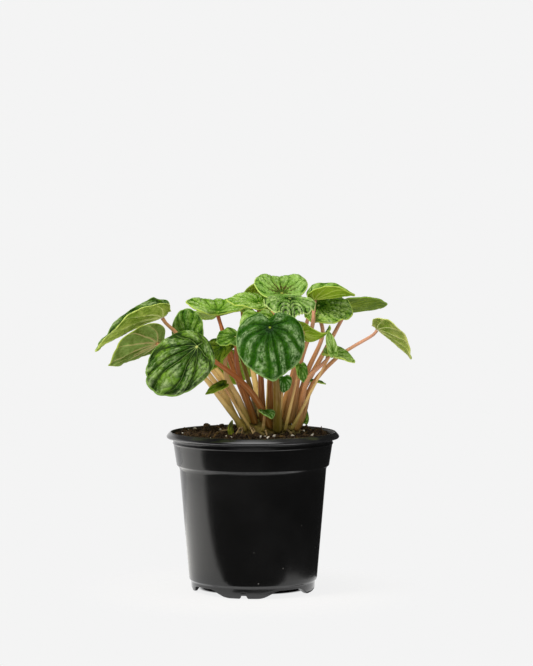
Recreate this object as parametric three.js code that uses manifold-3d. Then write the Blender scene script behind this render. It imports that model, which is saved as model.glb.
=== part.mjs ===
// A rippled peperomia in a black nursery pot, in millimetres, +Z up.
// The origin is on the surface the pot stands on, in the middle of the pot.
// Every leaf is a blade on a petiole. The petioles rise from one low crown, which sits in the potting soil.
import * as THREE from 'three';
import { mergeVertices } from 'three/addons/utils/BufferGeometryUtils.js';
import Module from 'manifold-3d';

const wasm = await Module();
wasm.setup();

// Driving dimensions.
const GAP = 0.3; // clearance between pieces that touch
const WALL = 1.2; // wall of the pot
const POT_HEIGHT = 105.4;
const RIM_RADIUS = 57; // outside of the rolled rim
const SHOULDER_HEIGHT = 82; // where the collar steps out from the tapered body
const BODY_TOP_RADIUS = 48.4;
const BODY_BASE_RADIUS = 42.3;
const FOOT_HEIGHT = 7.6; // where the body steps in to the skirt it stands on
const FOOT_RADIUS = 39; // outside of the flat standing ring
const FLOOR_HEIGHT = 5.6; // underside of the pot's floor
const DRAIN_HOLE_RADIUS = 3.5;
const DRAIN_HOLE_CIRCLE = 31;
const NOTCH_TURN = THREE.MathUtils.degToRad(-53.5); // first wide drainage notch, from the front
const SOIL_HEIGHT = 103.6; // soil at the crown
const CROWN = { centre: [10.5, 2, 99.5], radii: [23, 18, 15] };
const BLADE_THICKNESS = 1.1;
const PETIOLE_BASE_RADIUS = 2.1;
const PETIOLE_TOP_RADIUS = 1.25;
const ROOT_SPACING = 4.9; // between petioles on the crown
const ROOT_SPREAD = 0.86; // share of the crown's radii that carries petioles
const PEDICLE = 0.25; // share of a blade's length that lies behind its petiole
const POT_SEGMENTS = 48;

const COLOURS = {
  pot: 0x141414,
  soil: 0x2c1f17,
  crown: 0x7a5a38,
  petiole: 0xa8704e,
  blade: 0x2f7a22,
  sprout: 0x4c8f2c,
};

// Every full leaf: its joint with the petiole, then the way it points.
// heading is the compass turn of the tip from +X, drop is how far the tip points below level, and roll lifts its left side.
// fold is each half's rise from the midrib, cup its further curve, curl how far the tip bends down, lobes how far they bend up.
// pedicle is the leaf's own share of its length that lies behind its petiole, and pointed says
// how far its tip is drawn out, where 1 is usual.
// sinus is the depth of the cleft behind the petiole as a share of the length, and sinusSpread its half angle in radians.
// root starts a petiole at a place on the crown, and via lists points that it passes on its way up.
const LEAVES = {
  far_left: { at: [-59.3, -15, 181.5], heading: 180, drop: 24, roll: -8, length: 59.5, width: 35, fold: 42, cup: 10, curl: 4, lobes: 55, pointed: 1.35, root: [-17, -6], via: [[-50, -14, 171], [-29.5, -11, 144.6], [-17.5, -8.5, 128]] },
  low_left: { at: [-62, -25, 165], heading: 188, drop: 23, roll: 42, length: 43, width: 34, fold: 20, cup: 8, curl: 4, lobes: 10, pointed: 1.5, root: [-15, -10], via: [[-34, -19, 144.6], [-21, -14, 128]] },
  front_left: { at: [-34.8, -64, 165], heading: -160, drop: 38, roll: -58, length: 48.5, width: 37.5, fold: 0, cup: -14, curl: 20, lobes: -4, pointed: 0.15, pedicle: 0.17, sinus: 0, root: [1, -14.5], via: [[-26, -50, 156], [-10, -34, 143], [-0.5, -24, 132]] },
  upright_left: { at: [-43, 0, 166.5], heading: 90, drop: -75, roll: 0, length: 27, width: 22, fold: 14, cup: 14, curl: 6, lobes: 0, pointed: 0.3, root: [-14, -1], via: [[-25.5, -5, 144.6], [-13.5, -4, 128]] },
  back_of_left: { at: [-23.5, 16, 183], heading: 100, drop: -24, roll: 0, length: 31, width: 43, fold: 10, cup: 10, curl: 10, lobes: 26, via: [[-20.5, 14, 171], [-16.7, 12, 155]] },
  upper_left: { at: [4, -5, 190], heading: 180, drop: -10, roll: -20, length: 27, width: 26, fold: 4, cup: 6, curl: 8, lobes: 0 },
  behind_top: { at: [13, 38, 200.3], heading: 92, drop: 35, roll: -17, length: 38, width: 40, fold: 4, cup: 4, curl: 6, lobes: 0 },
  top: { at: [19, 0, 196], heading: 93, drop: -28, roll: 0, length: 41, width: 35, fold: 8, cup: 8, curl: 12, lobes: 16, pointed: -0.6 },
  rippled_front: { at: [24, -25.5, 193.5], heading: -88, drop: 14, roll: -3, length: 36, width: 34, fold: 0, cup: -6, curl: 14, lobes: -6, root: [0, -8], via: [[13, -33, 178], [12, -28, 160]] },
  front_centre: { at: [11, -58, 177], heading: -75, drop: 76, roll: 15, length: 43.5, width: 45, fold: -4, cup: -10, curl: 8, lobes: -8, sinus: 0.12, sinusSpread: 0.13, root: [9, -13.5], via: [[15, -38, 140]] },
  upper_right: { at: [40.5, -5, 192.8], heading: 4, drop: -4, roll: 4, length: 34, width: 33, fold: 30, cup: 12, curl: -4, lobes: 46, root: [14, -3.5], via: [[38.9, -12, 175.5], [31.5, -11, 152.8]] },
  far_right_high: { at: [63, 25, 187.4], heading: 0, drop: -1, roll: -20, length: 34, width: 32, fold: 0, cup: 8, curl: -4, lobes: 0, via: [[53, 19, 167]] },
  rippled_right: { at: [43, 5, 188], heading: -28, drop: 10, roll: 34, length: 32, width: 32, fold: 0, cup: 0, curl: 8, lobes: 0, root: [17, 3], via: [[46, 2, 170], [36, 0, 145]] },
  far_right: { at: [82, -5, 173], heading: 0, drop: 38, roll: -6, length: 37, width: 31, fold: 26, cup: 14, curl: 6, lobes: 24, root: [18, -4], via: [[66, -5, 161.7], [56, -4.5, 155], [39, -3, 136]] },
  curled_right: { at: [33, -30, 173], heading: 0, drop: 50, roll: -34, length: 31, width: 18, fold: 0, cup: 12, curl: -125, lobes: 0, root: [14, -10], via: [[29.5, -19.5, 156]] },
  twisted_right: { at: [49, -20, 156.5], heading: -5, drop: 12, roll: 14, length: 23, width: 23, fold: 20, cup: 10, curl: 4, lobes: 20, root: [16, -8.5], via: [[36, -15.5, 141]] },
  small_left: { at: [-11, -40, 169.5], heading: -160, drop: 8, roll: -34, length: 17, width: 18, fold: 6, cup: 10, curl: 14, lobes: 0, root: [-11, -9], via: [[-10.5, -31, 155], [-8, -24, 141]] },
  behind_centre: { at: [3, -19, 182], heading: -100, drop: 64, roll: 0, length: 28, width: 24, fold: 0, cup: -6, curl: 8, lobes: 0 },
  inner_left: { at: [-19, -23, 162.5], heading: -150, drop: 48, roll: -10, length: 27, width: 27, fold: 10, cup: 6, curl: 10, lobes: 0, root: [-13, -5], via: [[-17.5, -18, 144.6], [-9.5, -12, 128]] },
  rear_low_left: { at: [-46, 36, 164], heading: 135, drop: 25, roll: 0, length: 38, width: 36, fold: 8, cup: -8, curl: 14, lobes: 0, root: [-14.5, 4], via: [[-23, 3, 144.6], [-12, 1, 128]] },
  rear_top_left: { at: [-7, 42, 182.8], heading: 155, drop: -20, roll: 0, length: 32, width: 24, fold: 8, cup: 6, curl: 10, lobes: 0 },
  rear_centre: { at: [19, 47.5, 174], heading: 84, drop: 14, roll: 0, length: 36, width: 34, fold: 6, cup: -6, curl: 16, lobes: 0 },
  rear_right: { at: [38, 42, 184], heading: 60, drop: 0, roll: 0, length: 30, width: 28, fold: 8, cup: 4, curl: 10, lobes: 0 },
  rear_low: { at: [-8, 45.5, 152], heading: 100, drop: 36, roll: 0, length: 36, width: 36, fold: 4, cup: -8, curl: 14, lobes: 0 },
  rear_left: { at: [-24, 44, 181], heading: 112, drop: 4, roll: 0, length: 32, width: 28, fold: 8, cup: 4, curl: 12, lobes: 0 },
};

// Young leaves low on the crown, each one piece with its short stalk.
const SPROUTS = {
  sprout_left: { at: [-19, -24, 137.8], heading: 190, drop: 24, roll: -40, length: 16.5, width: 8, fold: 12, cup: 10, curl: 8, lobes: 0, root: [-13, -11] },
  sprout_base: { at: [8, -26, 120.5], heading: -60, drop: 16, roll: 0, length: 12, width: 11, fold: 8, cup: 10, curl: 14, lobes: 0, root: [-1.5, -15] },
  sprout_centre: { at: [20, -24, 142], heading: -90, drop: 68, roll: 0, length: 12, width: 11, fold: 8, cup: 8, curl: 10, lobes: 0, root: [7, -9] },
  sprout_right: { at: [31, -27, 150], heading: -70, drop: 62, roll: 0, length: 14, width: 8.5, fold: 14, cup: 8, curl: 6, lobes: 0, root: [12, -12] },
  sprout_edge: { at: [33.8, 6.5, 111.5], heading: 95, drop: -78, roll: 0, length: 13, width: 6.5, fold: 10, cup: 8, curl: 6, lobes: 0, root: [19.5, 3] },
  sprout_upright: { at: [51.7, -33.5, 159.6], heading: 180, drop: -78, roll: -70, length: 18, width: 7.5, fold: 10, cup: 8, curl: 6, lobes: 0, root: [13, -12] },
  sprout_low_right: { at: [39, 8, 138], heading: -10, drop: 8, roll: 10, length: 12, width: 6, fold: 14, cup: 8, curl: 6, lobes: 0, root: [13, 11] },
};

const radians = THREE.MathUtils.degToRad;
const vector = (x, y, z) => new THREE.Vector3(x, y, z);

// A closed geometry as a manifold-3d solid, and back.
function solidOf(geometry) {
  const bare = geometry.clone();
  bare.deleteAttribute('normal');
  bare.deleteAttribute('uv');
  const merged = mergeVertices(bare, 1e-3);
  const vertProperties = merged.attributes.position.array;
  const triVerts = new Uint32Array(merged.index.array);
  return new wasm.Manifold(new wasm.Mesh({ numProp: 3, vertProperties, triVerts }));
}

function geometryOf(solid) {
  const mesh = solid.getMesh();
  const geometry = new THREE.BufferGeometry();
  geometry.setAttribute('position', new THREE.BufferAttribute(mesh.vertProperties, 3));
  geometry.setIndex(new THREE.BufferAttribute(mesh.triVerts, 1));
  geometry.computeVertexNormals();
  return geometry;
}

function piece(name, geometry, colour, roughness) {
  const material = new THREE.MeshStandardMaterial({ color: colour, roughness, metalness: 0 });
  const mesh = new THREE.Mesh(geometry, material);
  mesh.name = name;
  return mesh;
}

// Moves every vertex of a three.js geometry by a rule.
function reshape(geometry, rule) {
  const position = geometry.attributes.position;
  for (let i = 0; i < position.count; i++) {
    const moved = rule(position.getX(i), position.getY(i), position.getZ(i));
    position.setXYZ(i, moved.x, moved.y, moved.z);
  }
  return geometry;
}

// A profile of [radius, height] pairs turned about Z.
function turned(profile, segments) {
  const points = profile.map(([radius, height]) => new THREE.Vector2(radius, height));
  return new THREE.LatheGeometry(points, segments).rotateX(Math.PI / 2);
}

// The pot's inside, from the floor up to the rim, drawn in by a margin.
function potInside(margin) {
  return [
    [BODY_BASE_RADIUS - WALL - 1.6 - margin, FLOOR_HEIGHT + WALL + margin],
    [BODY_BASE_RADIUS - WALL - margin, FLOOR_HEIGHT + WALL + 2 + margin],
    [BODY_TOP_RADIUS - WALL - margin, SHOULDER_HEIGHT + 0.4],
    [BODY_TOP_RADIUS + 1.9 - WALL - margin, SHOULDER_HEIGHT + 2.4],
    [RIM_RADIUS - 4.6 - WALL - margin, POT_HEIGHT - 7.8],
    [RIM_RADIUS - 2.9 - WALL - margin, POT_HEIGHT - 2.1],
  ];
}

// One arched drainage notch in the skirt, ready to be cut away.
function notch(halfWidth, height, turn) {
  const arch = new THREE.Shape();
  arch.moveTo(-halfWidth, -1);
  arch.lineTo(-halfWidth, 0);
  arch.bezierCurveTo(-halfWidth * 0.68, 0, -halfWidth * 0.66, height, -halfWidth * 0.35, height);
  arch.lineTo(halfWidth * 0.35, height);
  arch.bezierCurveTo(halfWidth * 0.66, height, halfWidth * 0.68, 0, halfWidth, 0);
  arch.lineTo(halfWidth, -1);
  const block = new THREE.ExtrudeGeometry(arch, { depth: 20, bevelEnabled: false, curveSegments: 5 });
  block.rotateX(Math.PI / 2).translate(0, -FOOT_RADIUS + 12, 0).rotateZ(turn);
  return solidOf(block);
}

function pot() {
  const outside = [
    [FOOT_RADIUS - 1.9, 0],
    [FOOT_RADIUS, 0],
    [FOOT_RADIUS + 1.2, 1],
    [FOOT_RADIUS + 1.8, 2.8],
    [FOOT_RADIUS + 2.1, FOOT_HEIGHT - 0.6],
    [BODY_BASE_RADIUS, FOOT_HEIGHT + 0.6],
    [BODY_TOP_RADIUS, SHOULDER_HEIGHT - 1],
    [BODY_TOP_RADIUS + 0.7, SHOULDER_HEIGHT + 0.5],
    [BODY_TOP_RADIUS + 1.9, SHOULDER_HEIGHT + 1.4],
    [RIM_RADIUS - 4.6, POT_HEIGHT - 8.2],
    [RIM_RADIUS - 4.1, POT_HEIGHT - 7.7],
    [RIM_RADIUS - 4.1, POT_HEIGHT - 7.1],
    [RIM_RADIUS - 4.6, POT_HEIGHT - 6.5],
    [RIM_RADIUS - 4.3, POT_HEIGHT - 5],
    [RIM_RADIUS - 2.2, POT_HEIGHT - 4.5],
    [RIM_RADIUS - 0.5, POT_HEIGHT - 4.1],
    [RIM_RADIUS, POT_HEIGHT - 3.2],
    [RIM_RADIUS - 0.4, POT_HEIGHT - 2.3],
    [RIM_RADIUS - 2.1, POT_HEIGHT - 0.3],
    [RIM_RADIUS - 2.8, POT_HEIGHT],
    [RIM_RADIUS - 3.5, POT_HEIGHT - 0.5],
  ];
  const underside = [
    [0, FLOOR_HEIGHT + WALL],
    [0, FLOOR_HEIGHT],
    [FOOT_RADIUS - 1.9, FLOOR_HEIGHT],
    [FOOT_RADIUS - 1.9, 0],
  ];
  let shell = solidOf(turned([...outside, ...potInside(0).reverse(), ...underside], POT_SEGMENTS));
  for (let quarter = 0; quarter < 4; quarter++) {
    const turn = NOTCH_TURN + (quarter * Math.PI) / 2;
    const wide = notch(20.2, FLOOR_HEIGHT - 0.6, turn);
    const narrow = notch(2.8, 2.2, turn + Math.PI / 4);
    shell = shell.subtract(wide).subtract(narrow);
    for (const offset of [0, Math.PI / 4]) {
      const hole = new THREE.CylinderGeometry(DRAIN_HOLE_RADIUS, DRAIN_HOLE_RADIUS, 4 * WALL, 10);
      hole.rotateX(Math.PI / 2).translate(0, -DRAIN_HOLE_CIRCLE, FLOOR_HEIGHT + WALL / 2).rotateZ(turn + offset);
      shell = shell.subtract(solidOf(hole));
    }
  }
  return geometryOf(shell);
}

// The crown is a low dome, a little larger by a margin where the soil makes room for it.
function dome(margin) {
  const [a, b, c] = CROWN.radii;
  return new THREE.SphereGeometry(1, 16, 10)
    .rotateX(Math.PI / 2)
    .scale(a + margin, b + margin, c + margin)
    .translate(...CROWN.centre);
}

// The soil fills the pot and heaps up towards the back and the left.
function soil() {
  const side = potInside(GAP);
  const [edgeRadius] = side.at(-1);
  const rings = [0.9, 0.7, 0.5, 0.25, 0];
  const edge = [edgeRadius - 0.9, POT_HEIGHT - 5.8];
  const profile = [[0, side[0][1]], ...side.slice(0, -1), edge];
  profile.push(...rings.map((share) => [edgeRadius * share, SOIL_HEIGHT]));
  const body = reshape(turned(profile, POT_SEGMENTS), (x, y, z) => {
    const share = Math.hypot(x, y) / edgeRadius;
    if (z < SOIL_HEIGHT - 1) return vector(x, y, z);
    const heap = 0.014 * (y - x) * share;
    const lumps = 0.55 * Math.sin(x * 0.31 + 1) * Math.sin(y * 0.37) + 0.3 * Math.sin(x * 0.9 + y * 0.7);
    return vector(x, y, z + heap + lumps);
  });
  return geometryOf(solidOf(body).subtract(solidOf(dome(GAP))));
}

// The leaf's own axes: towards its tip, to its left, and out of its upper face.
function axesOf(leaf) {
  const [heading, drop, roll] = [radians(leaf.heading), radians(leaf.drop), radians(leaf.roll)];
  const forward = vector(Math.cos(heading) * Math.cos(drop), Math.sin(heading) * Math.cos(drop), -Math.sin(drop));
  const level = vector(-Math.sin(heading), Math.cos(heading), 0);
  const up = forward.clone().cross(level);
  const left = level.clone().multiplyScalar(Math.cos(roll)).addScaledVector(up, Math.sin(roll));
  return { forward, left, up: forward.clone().cross(left) };
}

// A point of the blade's middle surface. reach runs from the petiole, 0, to the margin, 1, and turn round from the tip.
function bladePoint(leaf, reach, turn) {
  const pedicle = leaf.pedicle ?? PEDICLE;
  const back = Math.PI - Math.abs(turn);
  const pointed = leaf.pointed ?? 1;
  const tipPoint = 0.05 * pointed * Math.exp(-((turn / 0.3) ** 2));
  const sinus = (leaf.sinus ?? 0.13) * Math.exp(-((back / (leaf.sinusSpread ?? 0.26)) ** 2));
  const along = reach * leaf.length * (0.5 - pedicle + 0.5 * Math.cos(turn) + tipPoint + sinus);
  const narrowing = 1 - 0.22 * pointed * ((1 + Math.cos(turn)) / 2) ** 3 + 0.2 * Math.max(0, -Math.cos(turn));
  const across = reach * leaf.width * 0.5 * Math.sin(turn) * narrowing;
  // Each half rises from the midrib as an arc, and then the whole blade bends along its length.
  const fold = radians(leaf.fold);
  const crossBend = radians(leaf.cup) / (leaf.width / 2) + 1e-6;
  const opened = fold + crossBend * Math.abs(across);
  const y = (Math.sign(across) * (Math.sin(opened) - Math.sin(fold))) / crossBend;
  const z = (Math.cos(fold) - Math.cos(opened)) / crossBend;
  const tipBend = radians(leaf.curl) / (leaf.length * (1 - pedicle));
  const lobeBend = -radians(leaf.lobes) / (leaf.length * pedicle);
  const bend = (along > 0 ? tipBend : lobeBend) + 1e-6;
  const radius = 1 / bend + z;
  return vector(radius * Math.sin(bend * along), y, radius * Math.cos(bend * along) - 1 / bend);
}

// A blade is a thin disc, laid on the leaf's middle surface and given its thickness along the surface's normal.
function blade(leaf, spokes) {
  const half = BLADE_THICKNESS / 2;
  const disc = [[0, -half], [0.58, -half], [1, -half * 0.6], [1, half * 0.6], [0.58, half], [0, half]];
  const { forward, left, up } = axesOf(leaf);
  const step = 0.01;
  return reshape(turned(disc, spokes), (x, y, z) => {
    const reach = Math.hypot(x, y);
    const turn = Math.atan2(y, x);
    const here = bladePoint(leaf, reach, turn);
    const out = bladePoint(leaf, reach + step, turn).sub(bladePoint(leaf, Math.max(reach - step, 0), turn));
    const round = bladePoint(leaf, Math.max(reach, step), turn + step);
    round.sub(bladePoint(leaf, Math.max(reach, step), turn - step));
    const normal = reach < step ? vector(0, 0, 1) : out.cross(round).normalize();
    here.addScaledVector(normal, z);
    return vector(...leaf.at).addScaledVector(forward, here.x).addScaledVector(left, here.y).addScaledVector(up, here.z);
  });
}

// Where each petiole stands on the crown: towards its leaf, then pushed apart until there is room for all.
function rootsOf(leaves) {
  const [cx, cy] = CROWN.centre;
  const [a, b] = CROWN.radii;
  const furthest = 110;
  const roots = leaves.map(({ at: [x, y], root }) => {
    if (root) return [...root];
    const far = Math.hypot(x - cx, y - cy) + 1e-6;
    const share = (ROOT_SPREAD * Math.sqrt(far / furthest)) / far;
    return [(x - cx) * share * a, (y - cy) * share * b];
  });
  for (let round = 0; round < 200; round++) {
    roots.forEach((p, i) => {
      roots.slice(i + 1).forEach((q) => {
        const [dx, dy] = [q[0] - p[0], q[1] - p[1]];
        const apart = Math.hypot(dx, dy) + 1e-6;
        const push = Math.max(0, ROOT_SPACING - apart) / apart / 2;
        p[0] -= dx * push;
        p[1] -= dy * push;
        q[0] += dx * push;
        q[1] += dy * push;
      });
    });
    roots.forEach((p) => {
      const out = Math.hypot(p[0] / a, p[1] / b) / ROOT_SPREAD;
      if (out > 1) p.forEach((value, k) => (p[k] = value / out));
    });
  }
  return roots;
}

// A petiole's centreline, from the crown to the blade's underside, with the faces it meets at both ends.
function petioleOf(leaf, [rx, ry]) {
  const [a, b, c] = CROWN.radii;
  const rz = c * Math.sqrt(1 - (rx / a) ** 2 - (ry / b) ** 2);
  const foot = vector(rx / a ** 2, ry / b ** 2, rz / c ** 2).normalize();
  const root = vector(rx, ry, rz).add(vector(...CROWN.centre)).addScaledVector(foot, GAP);
  const { up } = axesOf(leaf);
  const end = vector(...leaf.at).addScaledVector(up, -BLADE_THICKNESS / 2 - GAP);
  const span = root.distanceTo(end);
  const chord = end.clone().sub(root).normalize();
  const aim = vector(...(leaf.via ?? [leaf.at]).at(-1)).sub(root).normalize();
  const rise = root.clone().addScaledVector(foot, span * 0.02).addScaledVector(aim, span * 0.1);
  const neck = end.clone().addScaledVector(up, -span * 0.01).addScaledVector(chord, -span * 0.03);
  const via = leaf.via ? leaf.via.toReversed().map((point) => vector(...point)) : [];
  return { curve: new THREE.CatmullRomCurve3([root, rise, ...via, neck, end]), foot, up };
}

// A round stalk that tapers along its centreline. Its two ends are cut flat against the faces they meet.
function stalk({ curve, foot, up }, baseRadius, topRadius, sides, steps) {
  const start = curve.getPoint(0);
  const end = curve.getPoint(1);
  const across = vector(end.y - start.y, start.x - end.x, 0).normalize();
  return reshape(new THREE.CylinderGeometry(1, 1, 1, sides, steps), (x, y, z) => {
    const t = y + 0.5;
    const tangent = curve.getTangentAt(t);
    const side = across.clone().addScaledVector(tangent, -across.dot(tangent)).normalize();
    const other = side.clone().cross(tangent);
    const radius = baseRadius + (topRadius - baseRadius) * t;
    const offset = side.multiplyScalar(x * radius).addScaledVector(other, z * radius);
    const face = t < 0.001 ? foot : up;
    if (t < 0.001 || t > 0.999) offset.addScaledVector(tangent, -offset.dot(face) / tangent.dot(face));
    return curve.getPointAt(t).add(offset);
  });
}

const group = new THREE.Group();
group.add(piece('pot', pot(), COLOURS.pot, 0.35));
group.add(piece('soil', soil(), COLOURS.soil, 0.95));
group.add(piece('crown', dome(0), COLOURS.crown, 0.7));

const roots = rootsOf([...Object.values(LEAVES), ...Object.values(SPROUTS)]);
Object.entries(LEAVES).forEach(([name, leaf], i) => {
  const petiole = stalk(petioleOf(leaf, roots[i]), PETIOLE_BASE_RADIUS, PETIOLE_TOP_RADIUS, 6, 9);
  group.add(piece(`petiole_${name}`, petiole, COLOURS.petiole, 0.5));
  group.add(piece(`leaf_${name}`, blade(leaf, 20), COLOURS.blade, 0.4));
});
Object.entries(SPROUTS).forEach(([name, leaf], i) => {
  const line = petioleOf(leaf, roots[Object.keys(LEAVES).length + i]);
  line.curve.points.at(-1).copy(vector(...leaf.at));
  const stem = solidOf(stalk(line, 1.1, 0.7, 5, 5));
  group.add(piece(name, geometryOf(stem.add(solidOf(blade(leaf, 12)))), COLOURS.sprout, 0.45));
});

export default group;
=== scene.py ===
import math
import bmesh
import bpy
import numpy as np
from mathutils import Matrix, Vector, noise


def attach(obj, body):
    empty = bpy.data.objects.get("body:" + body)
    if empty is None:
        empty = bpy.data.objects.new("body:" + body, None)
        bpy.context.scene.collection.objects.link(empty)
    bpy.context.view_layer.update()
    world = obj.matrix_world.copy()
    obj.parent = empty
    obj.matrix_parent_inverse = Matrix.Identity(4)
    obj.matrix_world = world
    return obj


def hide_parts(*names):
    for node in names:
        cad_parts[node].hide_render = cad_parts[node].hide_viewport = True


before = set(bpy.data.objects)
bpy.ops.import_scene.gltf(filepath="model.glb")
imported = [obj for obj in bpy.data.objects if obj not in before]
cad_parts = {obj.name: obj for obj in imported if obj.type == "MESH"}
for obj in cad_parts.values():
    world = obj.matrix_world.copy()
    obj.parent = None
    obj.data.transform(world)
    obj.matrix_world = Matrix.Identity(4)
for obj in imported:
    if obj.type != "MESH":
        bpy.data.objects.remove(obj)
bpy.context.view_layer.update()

# ---------------------------------------------------------------------------------------------
# The pot is one thin moulding of black plastic: a rolled rim, a wide collar, a tapered wall and
# a floor with eight drain holes. Four wide and four small arched gaps are cut into its skirt.
# ---------------------------------------------------------------------------------------------
MM = 0.001
FULL_TURN = 2 * math.pi
# (radius, height) in mm, from the skirt's inner edge up the outside and down the inside
POT_WALL = [
    (37.1, 5.6), (37.1, 0), (39.0, 0), (40.2, 1.0), (40.8, 2.8), (41.1, 7.0), (42.3, 8.2),
    (48.4, 81), (49.1, 82.5), (50.3, 83.4), (52.4, 97.2), (52.9, 97.7), (52.9, 98.3), (52.4, 98.9),
    (52.7, 100.4), (54.8, 100.9), (56.5, 101.3), (57.0, 102.2), (56.6, 103.1), (54.9, 105.1),
    (54.2, 105.4), (53.5, 104.9), (52.9, 103.3), (51.2, 97.6), (49.1, 84.4), (47.2, 82.4),
    (41.2, 8.8), (39.5, 6.8), (36.0, 6.8),
]
POT_COLUMNS = 420
FLOOR_UNDER, FLOOR_TOP = 5.6, 6.8
SKIRT_RADIUS, SKIRT_TOP = 39.0, 6.6
SKIRT_LEAN = [0, 1, 2.8, 7], [39, 40.2, 40.8, 41.1]  # heights, and the skirt's radius at each
FIRST_GAP = math.radians(-53.5)  # a wide gap's turn from the front
GAPS = [FIRST_GAP - math.pi / 2 + eighth * math.pi / 4 for eighth in range(8)]
WIDE_GAP, NARROW_GAP = (20.2, 5.0, 0.65), (2.8, 2.2, 0.45)  # half width, height, sloping share
DRAIN_RADIUS, DRAIN_CIRCLE, DRAIN_SIDES = 3.5, 31.0, 32
DRILL_LEVELS = np.array([[3.0], [9.0]])  # below and above the floor
# the lip is shinier from here up, and greyed partly by dust and partly by painted sheen
LIP_FROM, LIP_TO = 0.0995, 0.102  # where the shinier lip begins, in metres


def eased(corners, cut=0.55, longest=3.0, steps=4):
    """An outline with its corners rounded off and its long runs divided."""
    corners = [np.array(corner, float) for corner in corners]
    outline = [corners[0]]
    for before, corner, after in zip(corners, corners[1:], corners[2:]):
        back, ahead = before - corner, after - corner
        first = corner + back * min(cut / np.linalg.norm(back), 0.4)
        last = corner + ahead * min(cut / np.linalg.norm(ahead), 0.4)
        for t in np.linspace(0, 1, steps):
            outline.append((1 - t) ** 2 * first + 2 * t * (1 - t) * corner + t * t * last)
    outline.append(corners[-1])
    fine = [outline[0]]
    for start, end in zip(outline, outline[1:]):
        parts = max(1, math.ceil(np.linalg.norm(end - start) / longest))
        fine.extend(start + (end - start) * k / parts for k in range(1, parts + 1))
    return np.array(fine)


def smooth(value, low, high):
    """Goes smoothly from 0 to 1 as the value goes from low to high."""
    t = np.clip((value - low) / (high - low), 0, 1)
    return t * t * (3 - 2 * t)


def skirt_gap(turn):
    """Height of the skirt's lower edge at that turn round the pot, under its arched gaps."""
    lower_edge = np.zeros_like(turn)
    for eighth, middle in enumerate(GAPS):
        half_width, height, sloping = NARROW_GAP if eighth % 2 else WIDE_GAP
        away = np.abs((turn - middle + math.pi) % FULL_TURN - math.pi)
        sideways = np.where(away < 1, SKIRT_RADIUS * np.sin(away), math.inf)
        arch = height * smooth(half_width - sideways, 0, half_width * sloping)
        lower_edge = np.maximum(lower_edge, arch)
    return lower_edge


def turns(count):
    """So many even turns round a circle."""
    return np.arange(count) / count * FULL_TURN


def rings(radius, turn, height):
    """Points of level rings, one ring after another."""
    measures = np.broadcast_arrays(radius * np.cos(turn), radius * np.sin(turn), height)
    return np.stack(measures, -1).reshape(-1, 3)


def band_faces(rows, columns, first=0):
    """Faces between rings of so many columns, the rings starting at the point numbered first."""
    faces = []
    for low in range(first, first + (rows - 1) * columns, columns):
        for column in range(columns):
            here, beside = low + column, low + (column + 1) % columns
            faces.append((here, beside, beside + columns, here + columns))
    return faces


def closed_faces(rows, columns):
    """Faces of a skin of rings that two points close: the points after the last ring."""
    faces = [face[::-1] for face in band_faces(rows, columns)]
    last, end = (rows - 1) * columns, rows * columns
    for column in range(columns):
        beside = (column + 1) % columns
        faces.append((column, beside, end))
        faces.append((last + beside, last + column, end + 1))
    return faces


def new_mesh(name, points_mm, faces):
    """A thing in the scene, from points in mm."""
    mesh = bpy.data.meshes.new(name)
    mesh.from_pydata((np.asarray(points_mm) * MM).tolist(), [], faces)
    thing = bpy.data.objects.new(name, mesh)
    bpy.context.scene.collection.objects.link(thing)
    return thing


def new_piece(name, points_mm, faces, finishes, stands_for=(), face_finish=None):
    """A smooth piece from points in mm, riding on the part's one body."""
    piece = new_mesh(name, points_mm, faces)
    mesh = piece.data
    mesh.polygons.foreach_set("use_smooth", [True] * len(mesh.polygons))
    for finish in finishes:
        mesh.materials.append(finish)
    if face_finish is not None:
        mesh.polygons.foreach_set("material_index", face_finish)
    mesh.update()
    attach(piece, "root")
    if stands_for:
        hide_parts(*stands_for)
    return piece


def paint(red, green, blue):
    """A colour as it looks on screen, 0 to 255, made linear."""
    screen = [tone / 255 for tone in (red, green, blue)]
    linear = [((c + 0.055) / 1.055) ** 2.4 if c > 0.04 else c / 12.92 for c in screen]
    return (*linear, 1.0)


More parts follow.
